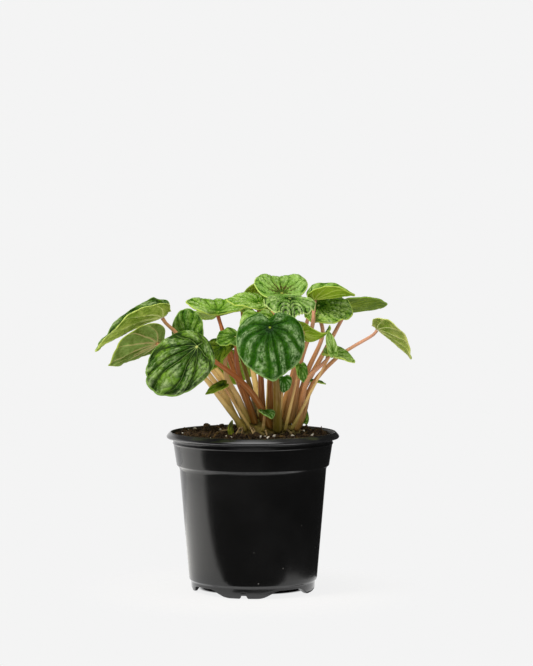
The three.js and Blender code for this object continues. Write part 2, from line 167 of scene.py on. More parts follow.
class Recipe:
    """A node tree and the short words that build it."""

    def __init__(self, tree):
        self.nodes, self.links = tree.nodes, tree.links

    def feed(self, value, socket):
        if isinstance(value, bpy.types.NodeSocket):
            self.links.new(value, socket)
        elif value is not None:
            socket.default_value = value

    def node(self, kind, *values, **settings):
        """A new node: values for its first sockets, then sockets and switches by their names."""
        made = self.nodes.new("ShaderNode" + kind)
        for word, value in settings.items():
            if word in made.inputs:
                self.feed(value, made.inputs[word])
            else:
                setattr(made, word, value)
        for value, socket in zip(values, made.inputs):
            self.feed(value, socket)
        return made

    def place(self, scale=None, kind="Object"):
        """Where a point is on the piece, stretched to suit a pattern."""
        spot = self.node("TexCoord").outputs[kind]
        return spot if scale is None else self.stretch(spot, scale)

    def stretch(self, spot, scale, shift=(0, 0, 0)):
        return self.node("Mapping", spot, Location=shift, Scale=scale).outputs["Vector"]

    def split(self, spot):
        """The measures of a spot along X, Y and Z."""
        return self.node("SeparateXYZ", spot).outputs

    def unwrapped(self, layer):
        """The two measures of an unwrapped layer, and both as one spot."""
        spot = self.node("UVMap", uv_map=layer).outputs["UV"]
        measures = self.split(spot)
        return measures["X"], measures["Y"], spot

    def maths(self, how, *values):
        return self.node("Math", *values, operation=how).outputs[0]

    def times(self, first, second):
        return self.maths("MULTIPLY", first, second)

    def plus(self, first, second):
        return self.maths("ADD", first, second)

    def ease(self, value, low, high, start=0.0, end=1.0, how="SMOOTHSTEP"):
        """Goes from start to end as the value goes from low to high."""
        made = self.node("MapRange", value, low, high, start, end, interpolation_type=how)
        return made.outputs[0]

    def cloud(self, scale, detail=3.0, roughness=0.55, twist=0.0, spot=None):
        """Soft blotches; a larger scale makes them smaller."""
        spot = self.place() if spot is None else spot
        return self.node("TexNoise", spot, Scale=scale, Detail=detail, Roughness=roughness,
                         Distortion=twist).outputs["Fac"]

    def grains(self, scale, feature="F1", spot=None):
        spot = self.place() if spot is None else spot
        return self.node("TexVoronoi", spot, feature=feature, Scale=scale).outputs["Distance"]

    def blend(self, amount, first, second):
        """The first colour where the amount is 0, and the second where it is 1."""
        mix = self.node("Mix", amount, data_type="RGBA")
        for colour, socket in ((first, mix.inputs[6]), (second, mix.inputs[7])):
            self.feed(paint(*colour) if isinstance(colour, tuple) else colour, socket)
        return mix.outputs[2]

    def either(self, share, first, second):
        """The first shader where the share is 0, and the second where it is 1."""
        return self.node("MixShader", share, first, second).outputs[0]

    def bump(self, height, distance_mm, strength=1.0, under=None):
        return self.node("Bump", Strength=strength, Distance=distance_mm * MM, Height=height,
                         Normal=under).outputs["Normal"]


class Finish(Recipe):
    """One surface finish."""

    def __init__(self, name, roughness, specular=0.5):
        self.material = bpy.data.materials.new(name)
        self.material.use_nodes = True
        super().__init__(self.material.node_tree)
        self.surface = self.nodes["Principled BSDF"]
        self.give("Roughness", roughness)
        self.give("Specular IOR Level", specular)

    def give(self, socket, value):
        self.feed(value, self.surface.inputs[socket])

    def coat(self, colour, relief, rough=None):
        """Gives the surface its colour, its relief and, where it varies, its roughness."""
        self.give("Base Color", colour)
        self.give("Roughness", rough)
        self.give("Normal", relief)
        return self.material


def moulded(name, roughness):
    """Black moulded plastic: smudged, faintly drawn along its height, dusty, its lip shinier and
    greyed by a film that is partly dust and partly painted sheen.
    """
    plastic = Finish(name, roughness)
    smudges = plastic.cloud(26, 4)
    scuffs = plastic.cloud(300, 3, spot=plastic.place((1, 1, 0.1)))
    dust = plastic.ease(plastic.grains(120), 0.03, 0.07, 1, 0)
    speck = plastic.times(dust, plastic.ease(plastic.cloud(45, 1), 0.56, 0.62))
    black = plastic.blend(plastic.ease(smudges, 0.35, 0.75), (14, 14, 14), (20, 20, 20))
    at_lip = plastic.ease(plastic.split(plastic.place())["Z"], LIP_FROM, LIP_TO)
    # painted sheen: the lip is greyed towards light, partly a film of dust and partly standing in
    # for the light its rounded top reflects
    lip_dust_and_sheen = plastic.times(plastic.times(at_lip, 0.22), plastic.ease(smudges, 0.2, 0.7))
    black = plastic.blend(lip_dust_and_sheen, black, (92, 92, 94))
    plastic.give("Specular IOR Level", plastic.maths("MULTIPLY_ADD", at_lip, 0.5, 0.5))
    black = plastic.blend(speck, black, (105, 102, 98))
    worn = plastic.ease(smudges, 0.35, 0.8, roughness, roughness + 0.09)
    worn = plastic.plus(worn, plastic.ease(scuffs, 0.5, 0.8, 0, 0.05))
    worn = plastic.plus(worn, plastic.times(speck, 0.4))
    uneven = plastic.cloud(45, 2, spot=plastic.place((1, 1, 0.3)))
    return plastic.coat(black, plastic.bump(uneven, 0.1, 0.3), worn)


wall = eased(POT_WALL)
step = np.arange(len(wall))[:, None]
under_floor = step < np.argmax(wall[:, 0] > 38)
outside = step < len(wall) // 2
pot_turn = turns(POT_COLUMNS)
radius = np.repeat(wall[:, :1], POT_COLUMNS, 1)
height = np.repeat(wall[:, 1:], POT_COLUMNS, 1)
gap = skirt_gap(pot_turn)[None, :]
skirt_top = np.where(under_floor, FLOOR_UNDER, SKIRT_TOP)
raised = np.where(height < skirt_top, gap + height * (1 - gap / skirt_top), height)
outward = np.interp(raised, *SKIRT_LEAN) - np.interp(height, *SKIRT_LEAN)
radius = np.where((height < skirt_top) & ~under_floor & outside, radius + outward, radius)
height = np.where(outside, raised, height)
# a moulded wall is never quite round
out_of_round = np.sin(2 * pot_turn + 1.1) + 0.6 * np.sin(3 * pot_turn + height / 22)
radius = radius + 0.09 * np.clip((height - 10) / 60, 0, 1) * out_of_round
pot_points = np.vstack([rings(radius, pot_turn, height), [(0, 0, FLOOR_UNDER), (0, 0, FLOOR_TOP)]])
pot_faces = closed_faces(len(wall), POT_COLUMNS)
is_inside = (np.arange(len(wall) - 1) > np.argmax(wall[:, 1])).astype(int)
is_inside = [*np.repeat(is_inside, POT_COLUMNS), *[0, 1] * POT_COLUMNS]
skins = [moulded("pot_plastic", 0.16), moulded("pot_plastic_inside", 0.5)]
pot = new_piece("pot_shell", pot_points, pot_faces, skins, ["pot"], is_inside)

drill_points, drill_faces = np.zeros((0, 3)), []
for middle in GAPS:
    first = len(drill_points)
    centre = (DRAIN_CIRCLE * math.cos(middle), DRAIN_CIRCLE * math.sin(middle), 0)
    drill = centre + rings(DRAIN_RADIUS, turns(DRAIN_SIDES), DRILL_LEVELS)
    drill_points = np.vstack([drill_points, drill])
    drill_faces += band_faces(2, DRAIN_SIDES, first)
    rim = range(first, first + DRAIN_SIDES)
    drill_faces += [tuple(rim)[::-1], tuple(point + DRAIN_SIDES for point in rim)]
drill = new_mesh("drain_drill", drill_points, drill_faces)
drilling = pot.modifiers.new("drain_holes", "BOOLEAN")
drilling.operation = "DIFFERENCE"
drilling.object = drill
drilling.solver = "EXACT"
bpy.context.view_layer.update()
drilled = bpy.data.meshes.new_from_object(pot.evaluated_get(bpy.context.evaluated_depsgraph_get()))
pot.modifiers.clear()
pot.data = drilled
pot.data.set_sharp_from_angle(angle=math.radians(50))
bpy.data.objects.remove(drill)

# ---------------------------------------------------------------------------------------------
# The soil is damp dark peat, filled to just under the rim and heaped towards the crown and the
# left. Loose crumbs, white perlite grains and chips of bark lie on it.
# ---------------------------------------------------------------------------------------------
SOIL_HEIGHT, SOIL_RADIUS = 103.6, 52.3
SOIL_RINGS, SOIL_COLUMNS = 96, 400
# (radius, height) down the soil's side to its underside
SOIL_SIDE = np.array([
    (51.9, 99.6), (51.0, 97.6), (48.8, 84.4), (46.9, 82.3), (40.8, 9.1), (39.2, 7.1)])
CROWN_MIDDLE = np.array([10.5, 2.0, 99.5])
CROWN_RADII = np.array([23.0, 18.0, 15.0])
CROWN_GAP = 0.3  # round the crown, in the hollow where it sits
CRUMBS, PERLITE, CHIPS = 620, 44, 60  # how many lie where chance puts them


def soil_level(x, y):
    """Height of the smooth soil in mm."""
    heap = 0.014 * (y - x) * np.hypot(x, y) / SOIL_RADIUS
    knolls = 0.55 * np.sin(x * 0.31 + 1) * np.sin(y * 0.37) + 0.3 * np.sin(x * 0.9 + y * 0.7)
    return SOIL_HEIGHT + heap + knolls


def under_crown(x, y, spare=0.0):
    """How far inside the crown's outline a place is, 1 at its edge."""
    spread = CROWN_RADII[:2] + spare
    return ((x - CROWN_MIDDLE[0]) / spread[0]) ** 2 + ((y - CROWN_MIDDLE[1]) / spread[1]) ** 2


bed = rings(np.linspace(0.6, SOIL_SIDE[0, 0], SOIL_RINGS)[:, None], turns(SOIL_COLUMNS), 0.0)
x, y, _ = bed.T
bed[:, 2] = soil_level(x, y)
for point in bed:
    spot = Vector((point[0], point[1], 0))
    crumbly = 0.7 * noise.noise(spot * 0.55) + 0.55 * noise.noise(spot * 1.3 + Vector((9, 2, 4)))
    point[2] += crumbly + 0.25 * noise.noise(spot * 3.1)
beneath = under_crown(x, y, CROWN_GAP)
hollow = CROWN_MIDDLE[2] - (CROWN_RADII[2] + CROWN_GAP) * np.sqrt(np.clip(1 - beneath, 0, 1))
bed[:, 2] = np.where(beneath < 1, np.minimum(bed[:, 2], hollow), bed[:, 2])
side = rings(SOIL_SIDE[:, :1], turns(SOIL_COLUMNS), SOIL_SIDE[:, 1:])
soil_points = np.vstack([bed, side, [(0, 0, hollow[0]), (0, 0, SOIL_SIDE[-1, 1])]])
soil_faces = closed_faces(SOIL_RINGS + len(SOIL_SIDE), SOIL_COLUMNS)

peat = Finish("damp_peat", 0.95, 0.25)
grain = peat.cloud(900, 4, 0.7)
tone = peat.blend(peat.ease(peat.cloud(160, 5, 0.7), 0.35, 0.68), (12, 9, 7), (38, 29, 21))
peat.coat(peat.blend(peat.ease(grain, 0.5, 0.72, 0, 0.75), tone, (100, 80, 56)),
          peat.bump(grain, 0.5, 1.0, peat.bump(peat.cloud(380, 4, 0.6), 0.9)))
new_piece("soil_bed", soil_points, soil_faces, [peat.material], ["soil"])

ball = bmesh.new()
bmesh.ops.create_icosphere(ball, subdivisions=2, radius=1.0)
LUMP_POINTS = np.array([vert.co[:] for vert in ball.verts])
LUMP_FACES = [tuple(vert.index for vert in face.verts) for face in ball.faces]
ball.free()


def scatter(dice, count, far=49.0):
    """Random places on the open soil, in mm."""
    places = []
    while len(places) < count:
        spin, out = dice.uniform(0, FULL_TURN), far * math.sqrt(dice.uniform(0, 1))
        x, y = out * math.cos(spin), out * math.sin(spin)
        if under_crown(x, y) > 1.0:
            places.append((x, y))
    return places


def strew(name, dice, places, sizes, squash, raggedness, sunk, finish):
    """Rough lumps of those sizes on the soil, each turned and out of round in its own way."""
    points, faces = [], []
    for (x, y), size in zip(places, sizes):
        bumps = dice.normal(0, 1, (4, 3)) * 1.7
        phases = dice.uniform(0, FULL_TURN, 4)
        rough = 1 + raggedness * sum(np.sin(LUMP_POINTS @ b + p) for b, p in zip(bumps, phases))
        rough += dice.uniform(-raggedness, raggedness, len(LUMP_POINTS)) * 0.35
        shape = LUMP_POINTS * rough[:, None] * size * squash
        turned, _ = np.linalg.qr(dice.normal(0, 1, (3, 3)))
        level = float(soil_level(x, y)) + (0.5 - sunk) * size
        faces += [tuple(len(points) + i for i in face) for face in LUMP_FACES]
        points.extend(shape @ turned.T + (x, y, level))
    new_piece(name, points, faces, [finish.material])


dice = np.random.default_rng(41)
places = scatter(dice, CRUMBS) + [(-31.5, 38.0), (-34.0, 33.5), (-26.0, 40.0)]
sizes = np.concatenate([dice.gamma(3.0, 0.3, CRUMBS) + 0.4, [2.9, 1.8, 1.6]])
crumbs = Finish("peat_crumbs", 0.92, 0.25)
grain = crumbs.cloud(1300, 3, 0.7)
tone = crumbs.blend(crumbs.ease(crumbs.cloud(210, 2), 0.35, 0.7), (13, 10, 8), (52, 39, 27))
tone = crumbs.blend(crumbs.ease(grain, 0.45, 0.75, 0, 0.6), tone, (124, 98, 66))
crumbs.coat(tone, crumbs.bump(grain, 0.3))
strew("soil_crumbs", dice, places, sizes, (1, 0.85, 0.7), 0.13, 0.25, crumbs)

places = [(-38.9, 17.7), (-31.8, 17.7), (-28.9, 35), (-26.1, 13.3), (-22.9, 39), (25.7, -19.6)]
sizes = [1.5, 1.35, 1.0, 1.2, 0.9, 1.6]
places += [(37.5, 12.0), (-44.0, 8.0), (31.0, 33.0), (43.5, -4.0)] + scatter(dice, PERLITE)
sizes += list(dice.uniform(0.55, 1.25, PERLITE + 4))
perlite = Finish("perlite", 0.8, 0.3)
pores = perlite.grains(2600)
tone = perlite.blend(perlite.ease(pores, 0.1, 0.6), (176, 160, 138), (240, 234, 222))
perlite.coat(tone, perlite.bump(pores, 0.15))
strew("perlite_grains", dice, places, sizes, (1, 0.9, 0.8), 0.1, 0.1, perlite)

places = scatter(dice, CHIPS) + [(41.0, 14.0), (38.0, 18.0), (44.0, 8.0), (34.0, 24.0)]
sizes = dice.uniform(0.9, 2.6, len(places))
bark = Finish("bark_chips", 0.85, 0.3)
grain = bark.cloud(700, 4, 0.7, spot=bark.place((1, 1, 3)))
tone = bark.blend(bark.ease(grain, 0.3, 0.7), (52, 36, 20), (118, 92, 52))
bark.coat(tone, bark.bump(grain, 0.3))
strew("bark_chips", dice, places, sizes, (1.3, 0.34, 0.22), 0.1, 0.1, bark)

# ---------------------------------------------------------------------------------------------
# The crown is the plant's short fleshy stem, low in the soil, knobbly with the scars of old
# leaves. Pale roots run from it into the soil, and one small bract stands beside it.
# ---------------------------------------------------------------------------------------------
CROWN_ROWS, CROWN_COLUMNS = 60, 120
DARK_FROM, DARK_TO = 0.1015, 0.107  # where the crown turns darker towards its foot, in metres
ROOT_ROWS, ROOT_SIDES = 22, 10
BRACT_ROWS, BRACT_SIDES = 24, 16

latitude = np.linspace(0.02, 0.98, CROWN_ROWS)[:, None] * math.pi
ball = rings(np.sin(latitude), turns(CROWN_COLUMNS), np.cos(latitude))
ball = np.vstack([ball, [(0, 0, 1), (0, 0, -1)]])
knobs = []
for point in ball:
    spot = Vector(point)
    scars = abs(noise.noise(spot * 2.6 + Vector((3, 1, 7))))
    knobs.append(0.96 + 0.05 * noise.noise(spot * 5.5) - 0.07 * max(0.0, 0.16 - scars) / 0.16)
crown_points = CROWN_MIDDLE + ball * CROWN_RADII * np.array(knobs)[:, None]
flesh = Finish("crown_flesh", 0.55, 0.4)
patch = flesh.ease(flesh.cloud(130, 4, 0.6, 0.6), 0.35, 0.65)
tone = flesh.blend(patch, (98, 84, 34), (142, 126, 64))
# the crown is darker towards its foot, by height
darker_foot = flesh.ease(flesh.split(flesh.place())["Z"], DARK_FROM, DARK_TO, 0.8, 0.0)
flesh.coat(flesh.blend(darker_foot, tone, (48, 34, 20)),
           flesh.bump(flesh.cloud(500, 4, spot=flesh.place((1, 1, 2.5))), 0.3))
crown_faces = closed_faces(CROWN_ROWS, CROWN_COLUMNS)
new_piece("crown_stem", crown_points, crown_faces, [flesh.material], ["crown"])


def smooth_run(stops, count, steps=40):
    """A smooth centripetal curve through the stops, as evenly spaced points."""
    stops = [np.array(stop, float) for stop in stops]
    ends = [2 * stops[0] - stops[1], *stops, 2 * stops[-1] - stops[-2]]
    fine = []
    for p0, p1, p2, p3 in zip(ends, ends[1:], ends[2:], ends[3:]):
        gaps = (p1 - p0, p2 - p1, p3 - p2)
        k0, k1, k2 = (max(np.linalg.norm(gap), 1e-4) ** 0.5 for gap in gaps)
        leave = ((p1 - p0) / k0 - (p2 - p0) / (k0 + k1) + (p2 - p1) / k1) * k1
        reach = ((p2 - p1) / k1 - (p3 - p1) / (k1 + k2) + (p3 - p2) / k2) * k1
        for t in np.linspace(0, 1, steps, endpoint=False):
            lift = (-3 * p1 + 3 * p2 - 2 * leave - reach) * t * t
            fine.append(p1 + leave * t + lift + (2 * p1 - 2 * p2 + leave + reach) * t**3)
    fine.append(stops[-1])
    fine = np.array(fine)
    travelled = np.concatenate([[0], np.cumsum(np.linalg.norm(np.diff(fine, axis=0), axis=1))])
    wanted = np.linspace(0, travelled[-1], count)
    return np.stack([np.interp(wanted, travelled, fine[:, k]) for k in range(3)], -1)


def round_run(line, radii, sides, flatten=None, end_faces=(None, None)):
    """Rings of points round a line, and the faces of the closed tube they make."""
    ahead = np.gradient(line, axis=0)
    ahead /= np.linalg.norm(ahead, axis=1)[:, None]
    across = np.array([line[-1][1] - line[0][1], line[0][0] - line[-1][0], 1e-3])
    across /= np.linalg.norm(across)
    side = across - ahead * (ahead @ across)[:, None]
    side /= np.linalg.norm(side, axis=1)[:, None]
    other = np.cross(side, ahead)
    spin = turns(sides)
    shape = np.ones(sides) if flatten is None else flatten(spin)
    tube = side[:, None] * (np.cos(spin) * shape)[None, :, None]
    tube = tube + other[:, None] * (np.sin(spin) * shape)[None, :, None]
    tube = tube * np.asarray(radii)[:, None, None]
    for row, face in ((0, end_faces[0]), (-1, end_faces[1])):
        if face is not None:
            tube[row] -= (tube[row] @ face)[:, None] / (ahead[row] @ face) * ahead[row]
    points = np.vstack([(line[:, None] + tube).reshape(-1, 3), line[:1], line[-1:]])
    return points, [face[::-1] for face in closed_faces(len(line), sides)]


ROOT_RUNS = [
    [(-8, -9, 109), (-10, -14, 106.5), (-11.5, -18, 104), (-12.5, -22, 101.5)],
    [(-7, -10, 109), (-7, -16, 106.5), (-7.5, -20, 104), (-7, -24, 101.5)],
    [(-2, -12, 110), (-0.5, -18, 107), (1, -22, 104.5), (3.5, -26, 101.5)],
    [(0, -13, 109), (1, -18.5, 107), (0, -22, 104.3), (0.5, -26, 101.5)],
    [(8, -14, 108), (9, -19, 105.5), (9.5, -23, 103.5), (10, -26, 101.5)],
    [(-15, 4, 106), (-21, 6, 105), (-27, 9, 102.5), (-31, 10, 100.5)],
    [(22, -12, 108), (25, -17, 105.5), (27, -22, 102.5), (28, -25, 100.5)],
    [(28, 10, 107), (33, 13, 104), (37, 15, 101.5), (40, 16, 99.5)],
    [(12, 20, 107), (15, 25, 104.5), (17, 30, 102), (18, 34, 100)],
    [(-6, 17, 106), (-10, 22, 104.5), (-14, 26, 102.5), (-16, 30, 100)],
]
root_points, root_faces = np.zeros((0, 3)), []
root_thick = np.linspace(0.75, 0.3, ROOT_ROWS) * (1 + 0.12 * np.sin(np.arange(ROOT_ROWS) * 1.9))
for stops in ROOT_RUNS:
    tube, tube_faces = round_run(smooth_run(stops, ROOT_ROWS), root_thick, ROOT_SIDES)
    root_faces += [tuple(len(root_points) + i for i in face) for face in tube_faces]
    root_points = np.vstack([root_points, tube])
roots = Finish("pale_roots", 0.6, 0.35)
tone = roots.blend(roots.ease(roots.cloud(240, 4), 0.35, 0.68), (96, 76, 48), (170, 146, 104))
roots.coat(tone, roots.bump(roots.cloud(1500, 3), 0.15))
new_piece("surface_roots", root_points, root_faces, [roots.material])

BRACT_STOPS = [(-13.2, -13, 101.5), (-14.4, -14, 106), (-14.6, -14.3, 110), (-13.4, -14, 114)]
wide = 2.0 * np.sin(np.linspace(0.25, 1.02, BRACT_ROWS) * math.pi * 0.97) ** 0.7 + 0.15
points, faces = round_run(smooth_run(BRACT_STOPS, BRACT_ROWS), wide, BRACT_SIDES,
                          lambda spin: 0.35 + 0.65 * np.abs(np.cos(spin)))
bract = Finish("bract_skin", 0.5, 0.3)
patch = bract.cloud(420, 4, spot=bract.place((1, 1, 0.4)))
tone = bract.blend(bract.ease(patch, 0.35, 0.65), (44, 48, 6), (112, 122, 30))
bract.coat(tone, bract.bump(patch, 0.4))
new_piece("olive_bract", points, faces, [bract.material])

# ---------------------------------------------------------------------------------------------
# Each leaf stands on its own fleshy stalk, pinkish tan above and olive at its thicker foot, which
# is also painted darker as shade. The stalks rise from the crown, pushed apart by one another, and
# meet their leaves from beneath.
# ---------------------------------------------------------------------------------------------
BLADE_THICKNESS = 1.1
CLEARANCE = 0.3
STALK_ROOM = 4.9  # between stalks on the crown, in mm
CROWN_SHARE = 0.86  # of the crown's radii, where stalks may stand
FAR_LEAF = 110  # a leaf so far out has its stalk at that edge
PUSHES = 200  # rounds of pushing the stalks apart
STALK_SIDES, STALK_ROWS = 14, 46
STALK_TOP, STALK_SWELL = 1.22, 1.08  # radius at the top, and what the foot adds, in mm


def leaf_plan(at, turn, drop, roll, size, fold, cup, curl, lobes=0, behind=0.25, pointed=1.0,
              notch=0.13, notch_width=0.26, root=None, by=()):
    """A leaf and the way of its stalk, in mm and degrees.

    at: where stalk and leaf meet. turn, drop, roll: the way the tip points, how far it dips, and
    the lean to one side. size: length and width. fold, cup: how far each half rises at the middle
    vein, and how much more by its margin. curl, lobes: how far the tip bends down and the lobes
    up. behind: the share of the length behind the stalk. pointed: how sharp the tip is. notch and
    its width: how deep the lobes part. root: the stalk's foot, from the crown's middle. by: the
    places that the stalk passes, from the leaf down.
    """
    return dict(at=at, turn=turn, drop=drop, roll=roll, size=size, fold=fold, cup=cup, curl=curl,
                lobes=lobes, behind=behind, pointed=pointed, notch=notch, notch_width=notch_width,
                root=root, by=by)


LEAVES = {
    "far_left": leaf_plan(
        (-59.3, -15, 181.5), 180, 24, -8, (59.5, 35), 42, 10, 4, 55, pointed=1.35, root=(-17, -6),
        by=[(-50, -14, 171), (-29.5, -11, 144.6), (-17.5, -8.5, 128)]),
    "low_left": leaf_plan(
        (-62, -25, 165), 188, 23, 42, (43, 34), 20, 8, 4, 10, pointed=1.5, root=(-15, -10),
        by=[(-34, -19, 144.6), (-21, -14, 128)]),
    "front_left": leaf_plan(
        (-34.8, -64, 165), -160, 38, -58, (48.5, 37.5), 0, -14, 20, -4, behind=0.17, pointed=0.15,
        notch=0.0, root=(1, -14.5), by=[(-26, -50, 156), (-10, -34, 143), (-0.5, -24, 132)]),
    "upright_left": leaf_plan(
        (-43, 0, 166.5), 90, -75, 0, (27, 22), 14, 14, 6, pointed=0.3, root=(-14, -1),
        by=[(-25.5, -5, 144.6), (-13.5, -4, 128)]),
    "back_of_left": leaf_plan(
        (-23.5, 16, 183), 100, -24, 0, (31, 43), 10, 10, 10, 26,
        by=[(-20.5, 14, 171), (-16.7, 12, 155)]),
    "upper_left": leaf_plan((4, -5, 190), 180, -10, -20, (27, 26), 4, 6, 8),
    "behind_top": leaf_plan((13, 38, 200.3), 92, 35, -17, (38, 40), 4, 4, 6),
    "top": leaf_plan((19, 0, 196), 93, -28, 0, (41, 35), 8, 8, 12, 16, pointed=-0.6),
    "rippled_front": leaf_plan(
        (24, -25.5, 193.5), -88, 14, -3, (36, 34), 0, -6, 14, -6, root=(0, -8),
        by=[(13, -33, 178), (12, -28, 160)]),
    "front_centre": leaf_plan(
        (11, -58, 177), -75, 76, 15, (43.5, 45), -4, -10, 8, -8, notch=0.12, notch_width=0.13,
        root=(9, -13.5), by=[(15, -38, 140)]),
    "upper_right": leaf_plan(
        (40.5, -5, 192.8), 4, -4, 4, (34, 33), 30, 12, -4, 46, root=(14, -3.5),
        by=[(38.9, -12, 175.5), (31.5, -11, 152.8)]),
    "far_right_high": leaf_plan(
        (63, 25, 187.4), 0, -1, -20, (34, 32), 0, 8, -4, by=[(53, 19, 167)]),
    "rippled_right": leaf_plan(
        (43, 5, 188), -28, 10, 34, (32, 32), 0, 0, 8, root=(17, 3),
        by=[(46, 2, 170), (36, 0, 145)]),
    "far_right": leaf_plan(
        (82, -5, 173), 0, 38, -6, (37, 31), 26, 14, 6, 24, root=(18, -4),
        by=[(66, -5, 161.7), (56, -4.5, 155), (39, -3, 136)]),
    "curled_right": leaf_plan(
        (33, -30, 173), 0, 50, -34, (31, 18), 0, 12, -125, root=(14, -10),
        by=[(29.5, -19.5, 156)]),
    "twisted_right": leaf_plan(
        (49, -20, 156.5), -5, 12, 14, (23, 23), 20, 10, 4, 20, root=(16, -8.5),
        by=[(36, -15.5, 141)]),
    "small_left": leaf_plan(
        (-11, -40, 169.5), -160, 8, -34, (17, 18), 6, 10, 14, root=(-11, -9),
        by=[(-10.5, -31, 155), (-8, -24, 141)]),
    "behind_centre": leaf_plan((3, -19, 182), -100, 64, 0, (28, 24), 0, -6, 8),
    "inner_left": leaf_plan(
        (-19, -23, 162.5), -150, 48, -10, (27, 27), 10, 6, 10, root=(-13, -5),
        by=[(-17.5, -18, 144.6), (-9.5, -12, 128)]),
    "rear_low_left": leaf_plan(
        (-46, 36, 164), 135, 25, 0, (38, 36), 8, -8, 14, root=(-14.5, 4),
        by=[(-23, 3, 144.6), (-12, 1, 128)]),
    "rear_top_left": leaf_plan((-7, 42, 182.8), 155, -20, 0, (32, 24), 8, 6, 10),
    "rear_centre": leaf_plan((19, 47.5, 174), 84, 14, 0, (36, 34), 6, -6, 16),
    "rear_right": leaf_plan((38, 42, 184), 60, 0, 0, (30, 28), 8, 4, 10),
    "rear_low": leaf_plan((-8, 45.5, 152), 100, 36, 0, (36, 36), 4, -8, 14),
    "rear_left": leaf_plan((-24, 44, 181), 112, 4, 0, (32, 28), 8, 4, 12),
}
SPROUTS = {
    "sprout_left": leaf_plan(
        (-19, -24, 137.8), 190, 24, -40, (16.5, 8), 12, 10, 8, root=(-13, -11)),
    "sprout_base": leaf_plan((8, -26, 120.5), -60, 16, 0, (12, 11), 8, 10, 14, root=(-1.5, -15)),
    "sprout_centre": leaf_plan((20, -24, 142), -90, 68, 0, (12, 11), 8, 8, 10, root=(7, -9)),
    "sprout_right": leaf_plan((31, -27, 150), -70, 62, 0, (14, 8.5), 14, 8, 6, root=(12, -12)),
    "sprout_edge": leaf_plan((33.8, 6.5, 111.5), 95, -78, 0, (13, 6.5), 10, 8, 6, root=(19.5, 3)),
    "sprout_upright": leaf_plan(
        (51.7, -33.5, 159.6), 180, -78, -70, (18, 7.5), 10, 8, 6, root=(13, -12)),
    "sprout_low_right": leaf_plan((39, 8, 138), -10, 8, 10, (12, 6), 14, 8, 6, root=(13, 11)),
}


def leaf_axes(leaf):
    """Towards the leaf's tip, to its left, and out of its upper face."""
    turn, drop, roll = (math.radians(leaf[word]) for word in ("turn", "drop", "roll"))
    tip = np.array([math.cos(turn), math.sin(turn), 0.0]) * math.cos(drop)
    tip[2] = -math.sin(drop)
    level = np.array([-math.sin(turn), math.cos(turn), 0.0])
    left = level * math.cos(roll) + np.cross(tip, level) * math.sin(roll)
    return tip, left, np.cross(tip, left)


def stand_apart(leaves):
    """Where each stalk stands on the crown: towards its leaf, with room for all."""
    a, b, _ = CROWN_RADII
    feet = []
    for leaf in leaves:
        x, y = np.array(leaf["at"][:2]) - CROWN_MIDDLE[:2]
        far = math.hypot(x, y) + 1e-6
        share = CROWN_SHARE * math.sqrt(far / FAR_LEAF) / far
        feet.append(list(leaf["root"] or (x * share * a, y * share * b)))
    for _ in range(PUSHES):
        for i, p in enumerate(feet):
            for q in feet[i + 1:]:
                dx, dy = q[0] - p[0], q[1] - p[1]
                apart = math.hypot(dx, dy) + 1e-6
                push = max(0.0, STALK_ROOM - apart) / apart / 2
                p[0], p[1] = p[0] - dx * push, p[1] - dy * push
                q[0], q[1] = q[0] + dx * push, q[1] + dy * push
        for p in feet:
            out = math.hypot(p[0] / a, p[1] / b) / CROWN_SHARE
            if out > 1:
                p[0], p[1] = p[0] / out, p[1] / out
    return feet


def stalk_line(leaf, foot, count, to_blade=False):
    """A stalk's middle line, and the faces that its two ends meet."""
    x, y = foot
    a, b, c = CROWN_RADII
    z = c * math.sqrt(1 - (x / a) ** 2 - (y / b) ** 2)
    out = np.array([x / a**2, y / b**2, z / c**2])
    out /= np.linalg.norm(out)
    start = CROWN_MIDDLE + (x, y, z) + out * CLEARANCE
    up = leaf_axes(leaf)[2]
    end = np.array(leaf["at"]) - up * (BLADE_THICKNESS / 2 + CLEARANCE)
    span = np.linalg.norm(end - start)
    chord = (end - start) / span
    aim = np.array([leaf["at"], *leaf["by"]][-1]) - start
    aim /= np.linalg.norm(aim)
    rise = start + out * span * 0.02 + aim * span * 0.1
    neck = end - up * span * 0.01 - chord * span * 0.03
    stops = [start, rise, *leaf["by"][::-1], neck, leaf["at"] if to_blade else end]
    return smooth_run(stops, count), out, up


def stalk_finish(name, foot, middle, top):
    """Fleshy stalk skin: three tones from foot to top, with fine long streaks; the darker foot is
    partly painted shade.
    """
    skin = Finish(name, 0.42, 0.45)
    _, along, spot = skin.unwrapped("along")
    streaks = skin.cloud(1, 4, 0.6, spot=skin.stretch(spot, (9, 2.2, 1)))
    # the foot tone is the stalk's own olive, made darker as painted shade where the feet crowd
    # together
    tone = skin.blend(skin.ease(along, 0.02, 0.4), foot, middle)
    tone = skin.blend(skin.ease(along, 0.45, 0.97), tone, top)
    pale = skin.blend(0.45, tone, (226, 196, 140))
    tone = skin.blend(skin.ease(streaks, 0.46, 0.74, 0, 0.7), tone, pale)
    deep = skin.blend(0.55, tone, (92, 44, 22))
    tone = skin.blend(skin.ease(skin.cloud(85, 3), 0.52, 0.75, 0, 0.6), tone, deep)
    flecks = skin.ease(skin.grains(900, spot=skin.place((1, 1, 0.5))), 0.06, 0.16, 0.35, 0)
    tone = skin.blend(flecks, tone, (120, 66, 40))
    return skin.coat(tone, skin.bump(streaks, 0.18, 0.8), skin.ease(streaks, 0.3, 0.8, 0.36, 0.52))


